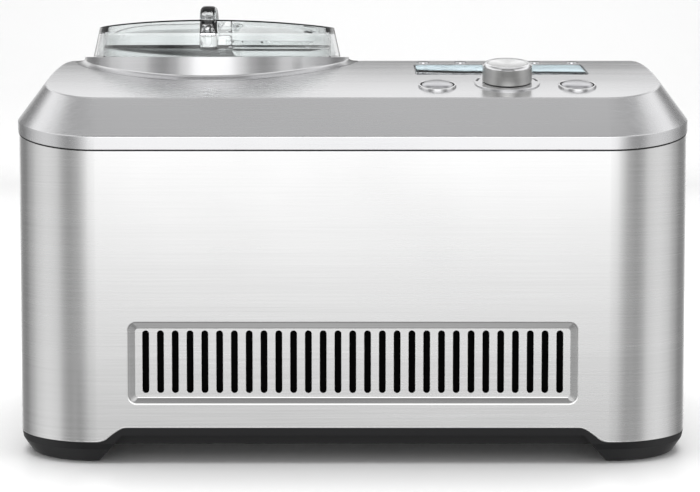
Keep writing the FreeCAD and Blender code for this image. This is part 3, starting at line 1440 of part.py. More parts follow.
def build():
    """Make and write every sub-part."""
    os.makedirs("parts", exist_ok=True)
    makers = [base_tray, body_wrap, rear_panel, rear_screws, cover_seal, top_cover, bowl_collar,
              freezer_well, evaporator_coil, well_insulation, well_gasket, gearbox_case, gearbox_lid,
              gearbox_screws, output_gear, idler_gear, idler_pin, motor_case, motor_rotor, drive_shaft,
              shaft_bush, shaft_seal, ice_bowl, bowl_bail, paddle, lid, lid_handle, lid_hatch, hatch_pins,
              lid_seal, lcd_window, lcd_module, control_board, button_switches, dial_ring, dial_knob,
              dial_cap, dial_encoder, button_rings, power_button, start_button, compressor,
              compressor_mounts, condenser, fan_frame, fan_rotor, refrigerant_pipes, filter_drier,
              main_board, cord_gland]
    for maker in makers:
        save(maker.__name__, maker())
    for depth, sy in (("front", -1), ("rear", 1)):
        for hand, sx in (("left", -1), ("right", 1)):
            save("foot_pad_" + depth + "_" + hand, foot_pad(sx, sy))
    for index, x in enumerate(mode_places()):
        save("mode_button_" + str(index + 1), mode_button(x))


build()
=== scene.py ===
"""Looks of a countertop ice cream maker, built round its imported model.

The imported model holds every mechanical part. This script gives each part its finish, rebuilds the skins that
need a finer surface, adds the small features that only matter to the eye, and sets the floor, lights and camera.
"""

from __future__ import annotations

import json
import logging
import math
from dataclasses import dataclass, field
from enum import Enum
from typing import Callable, Iterable, Sequence

import bmesh
import bpy
from mathutils import Matrix, Vector


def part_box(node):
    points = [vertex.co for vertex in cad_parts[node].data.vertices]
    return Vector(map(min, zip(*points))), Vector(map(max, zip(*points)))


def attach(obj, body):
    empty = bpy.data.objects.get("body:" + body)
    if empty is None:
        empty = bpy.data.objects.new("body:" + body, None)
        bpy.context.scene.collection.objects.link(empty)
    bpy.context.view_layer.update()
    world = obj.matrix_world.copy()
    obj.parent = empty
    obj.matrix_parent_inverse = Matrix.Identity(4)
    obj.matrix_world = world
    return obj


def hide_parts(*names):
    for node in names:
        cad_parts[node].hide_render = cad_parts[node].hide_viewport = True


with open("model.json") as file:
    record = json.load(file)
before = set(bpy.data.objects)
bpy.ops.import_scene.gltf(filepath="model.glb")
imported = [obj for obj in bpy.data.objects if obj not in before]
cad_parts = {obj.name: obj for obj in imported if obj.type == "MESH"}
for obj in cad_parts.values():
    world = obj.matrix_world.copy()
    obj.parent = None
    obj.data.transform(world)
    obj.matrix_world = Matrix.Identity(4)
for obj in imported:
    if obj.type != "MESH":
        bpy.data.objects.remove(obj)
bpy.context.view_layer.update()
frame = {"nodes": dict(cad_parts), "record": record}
LOG = logging.getLogger("ice_cream_maker")
MM = 0.001

SENSOR_WIDTH = 36.0
ROW_SEED = 7

Colour = tuple[float, float, float]
Point = tuple[float, float, float]
Pair = tuple[float, float]
Finishes = dict[str, bpy.types.Material]


def shade(colour: Colour, factor: float) -> Colour:
    """Colour made lighter or darker, and held at white."""
    return tuple(min(1.0, channel * factor) for channel in colour)


# ---- node graphs and finishes ------------------------------------------------


class Graph:
    """Short way to write a material's nodes."""

    def __init__(self, name: str) -> None:
        """Start an empty material.

        Args:
            name: The material's name.
        """
        self.material = bpy.data.materials.new(name)
        self.material.use_nodes = True
        self.tree = self.material.node_tree
        self.tree.nodes.clear()
        self.output = self.tree.nodes.new("ShaderNodeOutputMaterial")
        self.shader = self.tree.nodes.new("ShaderNodeBsdfPrincipled")
        self.link(self.shader.outputs["BSDF"], self.output.inputs["Surface"])
        self.coords = self.tree.nodes.new("ShaderNodeTexCoord").outputs["Object"]

    def link(self, source: bpy.types.NodeSocket, target: bpy.types.NodeSocket) -> None:
        """Join two sockets."""
        self.tree.links.new(source, target)

    def feed(self, node: bpy.types.Node, key: str | int, value: object) -> None:
        """Set or link one input of a node.

        Args:
            node: The node that receives the value.
            key: Name or number of the input.
            value: A socket to link, or a constant.
        """
        if isinstance(value, bpy.types.NodeSocket):
            self.link(value, node.inputs[key])
        else:
            node.inputs[key].default_value = value

    def stretch(self, scale: Point, move: Point = (0.0, 0.0, 0.0), turn: Point = (0.0, 0.0, 0.0),
                source: bpy.types.NodeSocket | None = None) -> bpy.types.NodeSocket:
        """Mapped coordinates.

        Args:
            scale: Scale along each axis, per metre.
            move: Offset in metres, taken before the scale.
            turn: Turn in radians, taken before the scale.
            source: Coordinates to map, the object's own if left out.

        Returns:
            The mapped vector.
        """
        shift = self.tree.nodes.new("ShaderNodeMapping")
        self.feed(shift, "Vector", source or self.coords)
        shift.inputs["Location"].default_value = move
        size = self.tree.nodes.new("ShaderNodeMapping")
        self.feed(size, "Vector", shift.outputs["Vector"])
        size.inputs["Rotation"].default_value = turn
        size.inputs["Scale"].default_value = scale
        return size.outputs["Vector"]

    def even(self, scale: float) -> bpy.types.NodeSocket:
        """The object's own coordinates, scaled alike along each axis."""
        return self.stretch((scale, scale, scale))

    def noise(self, vector: bpy.types.NodeSocket, detail: float, rough: float) -> bpy.types.NodeSocket:
        """Noise value at a vector.

        Args:
            vector: Coordinates, already scaled.
            detail: Number of finer layers.
            rough: Share of each finer layer.

        Returns:
            The value, about 0.5 in the middle.
        """
        node = self.tree.nodes.new("ShaderNodeTexNoise")
        self.feed(node, "Vector", vector)
        node.inputs["Scale"].default_value = 1.0
        node.inputs["Detail"].default_value = detail
        node.inputs["Roughness"].default_value = rough
        return node.outputs["Fac"]

    def ranged(self, value: bpy.types.NodeSocket, low: float, high: float, to_low: float,
               to_high: float) -> bpy.types.NodeSocket:
        """Value carried from one range to another, clamped.

        Args:
            value: The value.
            low: Low end of its range.
            high: High end of its range.
            to_low: Low end of the new range.
            to_high: High end of the new range.

        Returns:
            The new value.
        """
        node = self.tree.nodes.new("ShaderNodeMapRange")
        self.feed(node, "Value", value)
        for key, number in (("From Min", low), ("From Max", high), ("To Min", to_low), ("To Max", to_high)):
            node.inputs[key].default_value = number
        return node.outputs["Result"]

    def math(self, kind: str, a: object, b: object = 0.0) -> bpy.types.NodeSocket:
        """One arithmetic step.

        Args:
            kind: The operation.
            a: First value, as a socket or a constant.
            b: Second value.

        Returns:
            The result.
        """
        node = self.tree.nodes.new("ShaderNodeMath")
        node.operation = kind
        self.feed(node, 0, a)
        self.feed(node, 1, b)
        return node.outputs["Value"]

    def blend(self, factor: bpy.types.NodeSocket, low: Colour, high: Colour) -> bpy.types.NodeSocket:
        """Colour between two, by a factor.

        Args:
            factor: The share of the second colour.
            low: Colour at 0.
            high: Colour at 1.

        Returns:
            The colour.
        """
        node = self.tree.nodes.new("ShaderNodeValToRGB")
        self.feed(node, "Fac", factor)
        node.color_ramp.elements[0].color = (*low, 1.0)
        node.color_ramp.elements[1].color = (*high, 1.0)
        return node.outputs["Color"]

    def polar(self, centre: Point, tilt: float = 0.0) -> tuple[bpy.types.NodeSocket, ...]:
        """Radius, angle and height about an upright axis, or one tilted to the front.

        Args:
            centre: Point on the axis, in metres.
            tilt: Angle of the axis from upright, in radians.

        Returns:
            Radius, angle and height sockets.
        """
        moved = self.stretch((1.0, 1.0, 1.0), move=(-centre[0], -centre[1], -centre[2]), turn=(-tilt, 0.0, 0.0))
        split = self.tree.nodes.new("ShaderNodeSeparateXYZ")
        self.feed(split, "Vector", moved)
        square = self.math("ADD", self.math("MULTIPLY", split.outputs["X"], split.outputs["X"]),
                           self.math("MULTIPLY", split.outputs["Y"], split.outputs["Y"]))
        radius = self.math("SQRT", square)
        angle = self.math("ARCTAN2", split.outputs["Y"], split.outputs["X"])
        return radius, angle, split.outputs["Z"]

    def vector(self, kind: str, a: object, b: object = (0.0, 0.0, 0.0)) -> bpy.types.NodeSocket:
        """One step of vector arithmetic.

        Args:
            kind: The operation.
            a: First vector, as a socket or a constant.
            b: Second vector.

        Returns:
            The resulting vector.
        """
        node = self.tree.nodes.new("ShaderNodeVectorMath")
        node.operation = kind
        self.feed(node, 0, a)
        self.feed(node, 1, b)
        return node.outputs["Vector"]

    def across(self, grooves: object) -> bpy.types.NodeSocket:
        """Direction in the surface that is square to the grooves.

        Args:
            grooves: Direction of the grooves.

        Returns:
            A direction of length 1.
        """
        normal = self.tree.nodes.new("ShaderNodeNewGeometry").outputs["Normal"]
        return self.vector("NORMALIZE", self.vector("CROSS_PRODUCT", normal, grooves))

    def join(self, x: object, y: object, z: object) -> bpy.types.NodeSocket:
        """Vector from three values.

        Args:
            x: First value, as a socket or a constant.
            y: Second value.
            z: Third value.

        Returns:
            The vector.
        """
        node = self.tree.nodes.new("ShaderNodeCombineXYZ")
        for key, value in zip("XYZ", (x, y, z)):
            self.feed(node, key, value)
        return node.outputs["Vector"]

    def bump(self, height: bpy.types.NodeSocket, distance: float) -> bpy.types.NodeSocket:
        """Normal bent by a height.

        Args:
            height: Height of the surface, from 0 to 1.
            distance: What a height of 1 measures, in metres.

        Returns:
            The bent normal.
        """
        node = self.tree.nodes.new("ShaderNodeBump")
        self.feed(node, "Height", height)
        node.inputs["Distance"].default_value = distance
        node.inputs["Strength"].default_value = 1.0
        return node.outputs["Normal"]

    def set(self, **values: object) -> None:
        """Set or link the shader's inputs.

        Args:
            **values: Name of each input, with underscores for spaces, and its socket or constant.
        """
        for key, value in values.items():
            name = key.replace("_", " ")
            if isinstance(value, tuple) and len(value) == 3:
                value = (*value, 1.0)
            self.feed(self.shader, name, value)


class Grain(Enum):
    """How the brushing runs over a metal skin."""

    LEVEL = "level lines round the body"
    SIDEWAYS = "lines along the width"
    ROUND = "lines round an upright axis"
    SPUN = "rings about an axis"


@dataclass(frozen=True)
class BrushedMetal:
    """Metal with fine lines in one direction."""

    name: str
    colour: Colour
    rough: float
    grain: Grain = Grain.LEVEL
    lines: float = 900.0
    depth: float = 0.004 * MM
    contrast: float = 0.06
    centre: Point = (0.0, 0.0, 0.0)
    tilt: float = 0.0
    smear: float = 0.7
    slow: float = 7.0
    coarse: float = 0.14
    turning: float = 0.35

    def grooves(self, g: Graph) -> object:
        """Direction of the lines.

        Args:
            g: The graph that is being written.

        Returns:
            A vector, as a socket or a constant.
        """
        if self.grain is Grain.LEVEL:
            normal = g.tree.nodes.new("ShaderNodeNewGeometry").outputs["Normal"]
            return g.vector("CROSS_PRODUCT", (0.003, 0.006, 1.0), normal)
        if self.grain is Grain.SIDEWAYS:
            return (1.0, 0.02, 0.0)
        axis = (0.0, -math.sin(self.tilt), math.cos(self.tilt))
        return g.vector("CROSS_PRODUCT", axis, g.vector("SUBTRACT", g.coords, self.centre))

    def make(self) -> bpy.types.Material:
        """Build the material.

        Returns:
            The finished material.
        """
        g = Graph(self.name)
        broad = self.lines * self.coarse
        drift = self.slow * 0.3
        if self.grain is Grain.LEVEL:
            fine = g.stretch((self.slow, self.slow, self.lines))
            wide = g.stretch((drift, drift, broad))
        elif self.grain is Grain.SIDEWAYS:
            fine = g.stretch((self.slow, self.lines, self.lines))
            wide = g.stretch((drift, broad, broad))
        else:
            radius, angle, height = g.polar(self.centre, self.tilt)
            turn = g.math("MULTIPLY", g.math("SINE", angle), self.turning)
            other = g.math("MULTIPLY", g.math("COSINE", angle), self.turning)
            across = g.math("ADD", radius, height)
            fine = g.join(turn, other, g.math("MULTIPLY", across, self.lines))
            wide = g.join(turn, other, g.math("MULTIPLY", across, broad))
        scratches = g.math("MULTIPLY", g.noise(fine, 4.0, 0.7), 0.7)
        streaks = g.math("MULTIPLY", g.noise(wide, 2.0, 0.5), 0.3)
        mixed = g.math("ADD", scratches, streaks)
        cloud = g.noise(g.even(9.0), 3.0, 0.5)
        tone = g.blend(g.ranged(mixed, 0.3, 0.7, 0.0, 1.0), shade(self.colour, 1.0 - self.contrast),
                       shade(self.colour, 1.0 + self.contrast))
        spread = g.ranged(g.math("ADD", g.math("MULTIPLY", mixed, 0.6), g.math("MULTIPLY", cloud, 0.4)),
                          0.35, 0.65, self.rough - 0.05, self.rough + 0.06)
        g.set(Base_Color=tone, Metallic=1.0, Roughness=spread, Normal=g.bump(mixed, self.depth),
              Anisotropic=self.smear)
        g.feed(g.shader, "Tangent", g.across(self.grooves(g)))
        return g.material


@dataclass(frozen=True)
class Moulded:
    """Plastic or rubber with a fine moulded grain."""

    name: str
    colour: Colour
    rough: float
    pits: float = 2600.0
    depth: float = 0.02 * MM
    coat: float = 0.0
    wear: float = 0.12
    gloss: float = 0.5
    glow: float = 0.0

    def make(self) -> bpy.types.Material:
        """Build the material.

        Returns:
            The finished material.
        """
        g = Graph(self.name)
        fine = g.noise(g.even(self.pits), 2.0, 0.5)
        cloud = g.noise(g.even(14.0), 4.0, 0.6)
        tone = g.blend(g.ranged(cloud, 0.3, 0.7, 0.0, 1.0), shade(self.colour, 1.0 - self.wear),
                       shade(self.colour, 1.0 + self.wear))
        spread = g.ranged(cloud, 0.3, 0.7, max(0.03, self.rough - 0.05), self.rough + 0.05)
        g.set(Base_Color=tone, Roughness=spread, Normal=g.bump(fine, self.depth), Coat_Weight=self.coat,
              Coat_Roughness=0.08, Specular_IOR_Level=self.gloss, Emission_Color=tone,
              Emission_Strength=self.glow)
        return g.material


@dataclass(frozen=True)
class Polished:
    """Plated or ground metal with faint scratches and smears."""

    name: str
    colour: Colour
    rough: float

    def make(self) -> bpy.types.Material:
        """Build the material.

        Returns:
            The finished material.
        """
        g = Graph(self.name)
        cloud = g.noise(g.even(60.0), 4.0, 0.6)
        hair = g.noise(g.stretch((300.0, 4000.0, 4000.0)), 2.0, 0.5)
        tone = g.blend(cloud, shade(self.colour, 0.94), self.colour)
        spread = g.ranged(cloud, 0.3, 0.7, self.rough * 0.7, self.rough * 1.4)
        g.set(Base_Color=tone, Metallic=1.0, Roughness=spread, Normal=g.bump(hair, 0.001 * MM))
        return g.material


@dataclass(frozen=True)
class Clear:
    """Clear moulding with faint flow marks."""

    name: str
    colour: Colour
    rough: float = 0.02
    bend: float = 1.49

    def make(self) -> bpy.types.Material:
        """Build the material.

        Returns:
            The finished material.
        """
        g = Graph(self.name)
        flow = g.noise(g.even(26.0), 2.0, 0.5)
        hair = g.noise(g.even(500.0), 3.0, 0.6)
        tone = g.blend(g.ranged(flow, 0.3, 0.7, 0.0, 1.0), shade(self.colour, 0.985), self.colour)
        spread = g.ranged(hair, 0.4, 0.75, self.rough, self.rough + 0.03)
        g.set(Base_Color=tone, Roughness=spread, Normal=g.bump(flow, 0.05 * MM), Transmission_Weight=1.0,
              IOR=self.bend)
        return g.material


@dataclass(frozen=True)
class Drawn:
    """Copper or brass tube, dulled in patches."""

    name: str
    colour: Colour
    dull: Colour
    rough: float = 0.3

    def make(self) -> bpy.types.Material:
        """Build the material.

        Returns:
            The finished material.
        """
        g = Graph(self.name)
        patch = g.noise(g.even(45.0), 5.0, 0.65)
        scratch = g.noise(g.stretch((900.0, 900.0, 160.0)), 2.0, 0.5)
        tone = g.blend(g.ranged(patch, 0.42, 0.66, 0.0, 1.0), self.colour, self.dull)
        g.set(Base_Color=tone, Metallic=1.0, Roughness=g.ranged(patch, 0.3, 0.7, self.rough, self.rough + 0.2),
              Normal=g.bump(scratch, 0.01 * MM))
        return g.material


@dataclass(frozen=True)
class Foam:
    """Skinned foam with cells that show through."""

    name: str
    colour: Colour

    def make(self) -> bpy.types.Material:
        """Build the material.

        Returns:
            The finished material.
        """
        g = Graph(self.name)
        cells = g.tree.nodes.new("ShaderNodeTexVoronoi")
        g.feed(cells, "Vector", g.even(420.0))
        cells.inputs["Scale"].default_value = 1.0
        cloud = g.noise(g.even(30.0), 4.0, 0.6)
        tone = g.blend(cloud, shade(self.colour, 0.8), self.colour)
        g.set(Base_Color=tone, Roughness=0.85, Normal=g.bump(cells.outputs["Distance"], 0.5 * MM),
              Subsurface_Weight=0.1, Subsurface_Scale=0.002)
        return g.material


@dataclass(frozen=True)
class Circuit:
    """Printed board: solder mask over tracks."""

    name: str
    colour: Colour

    def make(self) -> bpy.types.Material:
        """Build the material.

        Returns:
            The finished material.
        """
        g = Graph(self.name)
        tracks = g.tree.nodes.new("ShaderNodeTexBrick")
        g.feed(tracks, "Vector", g.even(260.0))
        tracks.inputs["Scale"].default_value = 1.0
        tracks.inputs["Mortar Size"].default_value = 0.04
        lines = g.ranged(tracks.outputs["Fac"], 0.0, 1.0, 0.0, 1.0)
        tone = g.blend(lines, self.colour, shade(self.colour, 2.2))
        cloud = g.noise(g.even(120.0), 3.0, 0.5)
        g.set(Base_Color=tone, Roughness=g.ranged(cloud, 0.3, 0.7, 0.28, 0.42), Normal=g.bump(lines, 0.03 * MM),
              Coat_Weight=0.3)
        return g.material


# ---- shapes ----------------------------------------------------------------

CREST_Y = 17.0 * MM
DECK_TOP = 232.5 * MM
DECK_R = 500.0 * MM
HALF_W = 200.0
HALF_D = 143.0
CORNER_R = 52.0


def deck_height(y: float) -> float:
    """Height of the deck at a depth, in metres."""
    return DECK_TOP - DECK_R + math.sqrt(DECK_R ** 2 - (y - CREST_Y) ** 2)


def deck_tilt(y: float) -> float:
    """Angle of the deck's normal from upright, positive to the front, in radians."""
    return math.asin((CREST_Y - y) / DECK_R)


def on_deck(x: float, y: float) -> Matrix:
    """Placement square to the deck at a point of it."""
    return Matrix.Translation((x, y, deck_height(y))) @ Matrix.Rotation(deck_tilt(y), 4, "X")


def scaled(place: Matrix, x: float, y: float, z: float) -> Vector:
    """Point of a placement, from offsets in millimetres."""
    return place @ Vector((x * MM, y * MM, z * MM))


@dataclass
class Build:
    """Gathers faces of one new piece and turns them into an object."""

    name: str
    mesh: bmesh.types.BMesh = field(default_factory=bmesh.new)

    def lathe(self, profile: Sequence[Pair], place: Matrix, turns: int = 96) -> "Build":
        """Turn a profile of radius and height about a placement's Z axis.

        Args:
            profile: Radius and height pairs in millimetres, from the bottom up and closed by the axis or itself.
            place: Where the axis stands.
            turns: Number of steps round.

        Returns:
            The same gatherer.
        """
        rows = []
        for r, z in profile:
            if r <= 0:
                rows.append([self.mesh.verts.new(scaled(place, 0.0, 0.0, z))])
                continue
            steps = (2 * math.pi * i / turns for i in range(turns))
            rows.append([self.mesh.verts.new(scaled(place, r * math.cos(a), r * math.sin(a), z)) for a in steps])
        hollow = profile[0][0] > 0 and profile[-1][0] > 0
        if hollow:
            rows.append(rows[0])
        for low, high in zip(rows, rows[1:]):
            for i in range(turns):
                j = (i + 1) % turns
                if len(low) == 1:
                    self.mesh.faces.new((low[0], high[i], high[j]))
                elif len(high) == 1:
                    self.mesh.faces.new((low[i], low[j], high[0]))
                else:
                    self.mesh.faces.new((low[i], low[j], high[j], high[i]))
        return self

    def plate(self, outline: Sequence[Pair], low: float, high: float, place: Matrix,
              edge: float = 0.0) -> "Build":
        """Flat piece from an outline, with its upper edge eased.

        Args:
            outline: Corner points in millimetres, anticlockwise.
            low: Height of the underside, in millimetres.
            high: Height of the top, in millimetres.
            place: Where the outline's plane stands.
            edge: Width of the eased edge, in millimetres.

        Returns:
            The same gatherer.
        """
        levels = [(0.0, low), (0.0, high)]
        if edge > 0:
            levels = [(0.0, low), (0.0, high - edge), (edge * 0.3, high - edge * 0.3), (edge, high)]
        rows = []
        for inset, z in levels:
            rows.append([self.mesh.verts.new(scaled(place, x, y, z)) for x, y in shrink(outline, inset)])
        for lower, upper in zip(rows, rows[1:]):
            for i in range(len(lower)):
                j = (i + 1) % len(lower)
                self.mesh.faces.new((lower[i], lower[j], upper[j], upper[i]))
        self.mesh.faces.new(list(reversed(rows[0])))
        self.mesh.faces.new(rows[-1])
        return self

    def sweep(self, path: Sequence[Vector], section: Sequence[Pair], closed: bool = False,
              up: Vector = Vector((0, 0, 1)), inward: bool = False) -> "Build":
        """Carry a section along a path.

        Args:
            path: Points of the path, in metres.
            section: Sideways and upward offsets in millimetres.
            closed: Whether the path is a loop.
            up: Direction that the section's second offset follows.
            inward: Whether the first offset goes towards the middle of the loop.

        Returns:
            The same gatherer.
        """
        count = len(path)
        middle = sum(path, Vector()) / count
        rows = []
        for i, point in enumerate(path):
            before = path[i - 1] if closed or i else path[0]
            after = path[(i + 1) % count] if closed or i < count - 1 else path[-1]
            along = (after - before).normalized()
            side = along.cross(up).normalized()
            over = side.cross(along)
            if inward and side.dot(middle - point) < 0:
                side = -side
            rows.append([self.mesh.verts.new(point + side * (a * MM) + over * (b * MM)) for a, b in section])
        pairs = list(zip(rows, rows[1:]))
        if closed:
            pairs.append((rows[-1], rows[0]))
        for low, high in pairs:
            for i in range(len(section)):
                j = (i + 1) % len(section)
                self.mesh.faces.new((low[i], low[j], high[j], high[i]))
        if not closed:
            self.mesh.faces.new(list(reversed(rows[0])))
            self.mesh.faces.new(rows[-1])
        return self

    def done(self, finish: bpy.types.Material, body: str, slot: str, stands_for: Sequence[str] = (),
             crease: float = 32.0) -> bpy.types.Object:
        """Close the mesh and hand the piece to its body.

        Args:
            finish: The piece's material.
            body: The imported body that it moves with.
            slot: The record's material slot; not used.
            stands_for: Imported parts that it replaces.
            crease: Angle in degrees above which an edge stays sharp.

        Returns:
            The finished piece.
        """
        bmesh.ops.remove_doubles(self.mesh, verts=self.mesh.verts, dist=0.001 * MM)
        bmesh.ops.recalc_face_normals(self.mesh, faces=self.mesh.faces)
        limit = math.radians(crease)
        for edge in self.mesh.edges:
            edge.smooth = len(edge.link_faces) == 2 and edge.calc_face_angle() < limit
        for face in self.mesh.faces:
            face.smooth = True
        data = bpy.data.meshes.new(self.name)
        self.mesh.to_mesh(data)
        self.mesh.free()
        return hand_over(bpy.data.objects.new(self.name, data), finish, body, stands_for)


def hand_over(piece: bpy.types.Object, finish: bpy.types.Material, body: str,
              stands_for: Sequence[str] = ()) -> bpy.types.Object:
    """Put a piece in the scene, dress it and tie it to its body.

    Args:
        piece: The new object.
        finish: Its material.
        body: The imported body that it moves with.
        stands_for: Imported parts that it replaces.

    Returns:
        The same object.
    """
    bpy.context.scene.collection.objects.link(piece)
    piece.data.materials.clear()
    piece.data.materials.append(finish)
    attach(piece, body)
    if stands_for:
        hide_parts(*stands_for)
    LOG.info("%s rides on %s", piece.name, body)
    return piece


def shrink(outline: Sequence[Pair], inset: float) -> list[Pair]:
    """Outline moved inwards by a distance, for one whose corners are blunt.

    Args:
        outline: Corner points, anticlockwise.
        inset: How far each side moves in.

    Returns:
        The new corner points.
    """
    if inset == 0:
        return list(outline)
    out = []
    for i, (x, y) in enumerate(outline):
        ax, ay = outline[i - 1]
        bx, by = outline[(i + 1) % len(outline)]
        first = Vector((x - ax, y - ay)).normalized()
        second = Vector((bx - x, by - y)).normalized()
        inward = Vector((-first.y - second.y, first.x + second.x)).normalized()
        lean = max(0.3, inward.dot(Vector((-first.y, first.x))))
        out.append((x + inward.x * inset / lean, y + inward.y * inset / lean))
    return out


def rounded(half_w: float, half_h: float, r: float, steps: int = 8) -> list[Pair]:
    """Rounded rectangle about the origin.

    Args:
        half_w: Half its width.
        half_h: Half its height.
        r: Radius of its corners.
        steps: Number of sides in a corner.

    Returns:
        Corner points, anticlockwise.
    """
    out = []
    for cx, cy, turn in ((1, 1, 0), (-1, 1, 1), (-1, -1, 2), (1, -1, 3)):
        for i in range(steps + 1):
            angle = math.pi / 2 * (turn + i / steps)
            out.append((cx * (half_w - r) + r * math.cos(angle), cy * (half_h - r) + r * math.sin(angle)))
    return out


def rod(r: float, steps: int = 8) -> list[Pair]:
    """Round section about the origin, anticlockwise."""
    return [(r * math.cos(2 * math.pi * i / steps), r * math.sin(2 * math.pi * i / steps)) for i in range(steps)]


def round_body(inset: float, steps: int, parts: Callable[[Pair, Pair], int],
               height: Callable[[float, float], float]) -> list[Vector]:
    """Closed path round the body, just inside its walls.

    Args:
        inset: How far the path lies inside the body's outline, in millimetres.
        steps: Number of sides in a corner.
        parts: Number of parts for the side between two points.
        height: Height at a place, in millimetres.

    Returns:
        Points in metres.
    """
    corners = rounded(HALF_W - inset, HALF_D - inset, CORNER_R - inset, steps)
    path = []
    for i, (x, y) in enumerate(corners):
        nx, ny = corners[(i + 1) % len(corners)]
        count = max(1, parts((x, y), (nx, ny)))
        for k in range(count):
            px = x + (nx - x) * k / count
            py = y + (ny - y) * k / count
            path.append(Vector((px * MM, py * MM, height(px, py) * MM)))
    return path


# ---- repeated pieces -------------------------------------------------------


@dataclass
class Row:
    """Geometry Nodes group that sets copies of a bar along a line."""

    name: str
    tree: bpy.types.NodeTree = field(init=False)

    def __post_init__(self) -> None:
        """Make the group with its named inputs."""
        tree = bpy.data.node_groups.new(self.name, "GeometryNodeTree")
        self.tree = tree
        tree.interface.new_socket("Geometry", in_out="OUTPUT", socket_type="NodeSocketGeometry")
        for name, kind in (("Start", "Vector"), ("End", "Vector"), ("Count", "Int"), ("Bar Size", "Vector"),
                           ("Uneven", "Float"), ("Material", "Material")):
            tree.interface.new_socket(name, in_out="INPUT", socket_type="NodeSocket" + kind)
        given = tree.nodes.new("NodeGroupInput")
        result = tree.nodes.new("NodeGroupOutput")
        line = tree.nodes.new("GeometryNodeMeshLine")
        line.mode = "END_POINTS"
        bar = tree.nodes.new("GeometryNodeMeshCube")
        place = tree.nodes.new("GeometryNodeInstanceOnPoints")
        sway = tree.nodes.new("FunctionNodeRandomValue")
        sway.data_type = "FLOAT_VECTOR"
        shift = tree.nodes.new("ShaderNodeVectorMath")
        shift.operation = "SCALE"
        move = tree.nodes.new("GeometryNodeSetPosition")
        real = tree.nodes.new("GeometryNodeRealizeInstances")
        dress = tree.nodes.new("GeometryNodeSetMaterial")
        sway.inputs["Seed"].default_value = ROW_SEED
        sway.inputs[0].default_value = (-1.0, -1.0, -1.0)
        sway.inputs[1].default_value = (1.0, 1.0, 1.0)
        link = tree.links.new
        link(given.outputs["Start"], line.inputs["Start Location"])
        link(given.outputs["End"], line.inputs["Offset"])
        link(given.outputs["Count"], line.inputs["Count"])
        link(given.outputs["Bar Size"], bar.inputs["Size"])
        link(sway.outputs[0], shift.inputs[0])
        link(given.outputs["Uneven"], shift.inputs["Scale"])
        link(line.outputs["Mesh"], move.inputs["Geometry"])
        link(shift.outputs["Vector"], move.inputs["Offset"])
        link(move.outputs["Geometry"], place.inputs["Points"])
        link(bar.outputs["Mesh"], place.inputs["Instance"])
        link(place.outputs["Instances"], real.inputs["Geometry"])
        link(real.outputs["Geometry"], dress.inputs["Geometry"])
        link(given.outputs["Material"], dress.inputs["Material"])
        link(dress.outputs["Geometry"], result.inputs["Geometry"])

    def mesh(self, start: Point, end: Point, count: int, size: Point, uneven: float,
             finish: bpy.types.Material) -> bpy.types.Mesh:
        """Copies of a bar, as one plain mesh.

        Args:
            start: Centre of the first bar, in metres.
            end: Centre of the last bar, in metres.
            count: Number of bars.
            size: Size of one bar, in metres.
            uneven: Largest shift of a bar from its even place, in metres.
            finish: The bars' material.

        Returns:
            The evaluated mesh.
        """
        holder = bpy.data.objects.new(self.name, bpy.data.meshes.new(self.name))
        bpy.context.scene.collection.objects.link(holder)
        modifier = holder.modifiers.new(self.name, "NODES")
        modifier.node_group = self.tree
        values = {"Start": start, "End": end, "Count": count, "Bar Size": size, "Uneven": uneven,
                  "Material": finish}
        for item in self.tree.interface.items_tree:
            if item.in_out == "INPUT":
                modifier[item.identifier] = values[item.name]
        graph = bpy.context.evaluated_depsgraph_get()
        made = bpy.data.meshes.new_from_object(holder.evaluated_get(graph), depsgraph=graph)
        holder.modifiers.remove(modifier)
        bpy.data.objects.remove(holder)
        return made


def merged(name: str, meshes: Iterable[bpy.types.Mesh]) -> bpy.types.Object:
    """One object from several meshes.

    Args:
        name: The new object's name.
        meshes: The meshes, in the model's own frame.

    Returns:
        The object, not yet in the scene.
    """
    whole = bmesh.new()
    for part in meshes:
        whole.from_mesh(part)
    data = bpy.data.meshes.new(name)
    whole.to_mesh(data)
    whole.free()
    return bpy.data.objects.new(name, data)


# ---- vent, hem and seam ----------------------------------------------------


@dataclass
class Vent:
    """Dust screen and a near-black sheet behind the slots of the front vent, both painted shade for the dark
    inside of the body.
    """

    half_w: float = 126.0
    low: float = 37.5
    high: float = 80.5
    pitch: float = 1.6
    wire: float = 0.45
    face: float = -137.6
    layer: float = 0.3
    uneven: float = 0.05
    shade_sheet_back: float = 1.4
    shade_sheet_half: float = 0.5
    shade_sheet_r: float = 2.0

    def build(self, made: Finishes) -> None:
        """Add the screen and the sheet, both in the near-black painted-shade finish.

        Args:
            made: Slot name to material.
        """
        # Near-black finish for the screen and the sheet: painted shade that darkens the slots
        black = made["vent_painted_shade"]
        tall = self.high - self.low
        mid = (self.low + self.high) / 2
        second = self.face + self.layer
        row = Row("screen wires")
        across = row.mesh(start=(-self.half_w * MM, self.face * MM, mid * MM),
                          end=(self.half_w * MM, self.face * MM, mid * MM),
                          count=round(2 * self.half_w / self.pitch),
                          size=(self.wire * MM, self.wire * MM, tall * MM),
                          uneven=self.uneven * MM, finish=black)
        upward = row.mesh(start=(0.0, second * MM, self.low * MM), end=(0.0, second * MM, self.high * MM),
                          count=round(tall / self.pitch),
                          size=(2 * self.half_w * MM, self.wire * MM, self.wire * MM),
                          uneven=self.uneven * MM, finish=black)
        hand_over(merged("vent_screen", (across, upward)), black, "housing")
        centre = Matrix.Translation((0, (self.face + self.shade_sheet_back) * MM, mid * MM))
        place = centre @ Matrix.Rotation(math.pi / 2, 4, "X")
        shade_sheet = Build("vent_shade_sheet").plate(rounded(self.half_w, tall / 2, self.shade_sheet_r), -self.shade_sheet_half,
                                        self.shade_sheet_half, place)
        shade_sheet.done(black, "housing", "black_plastic")


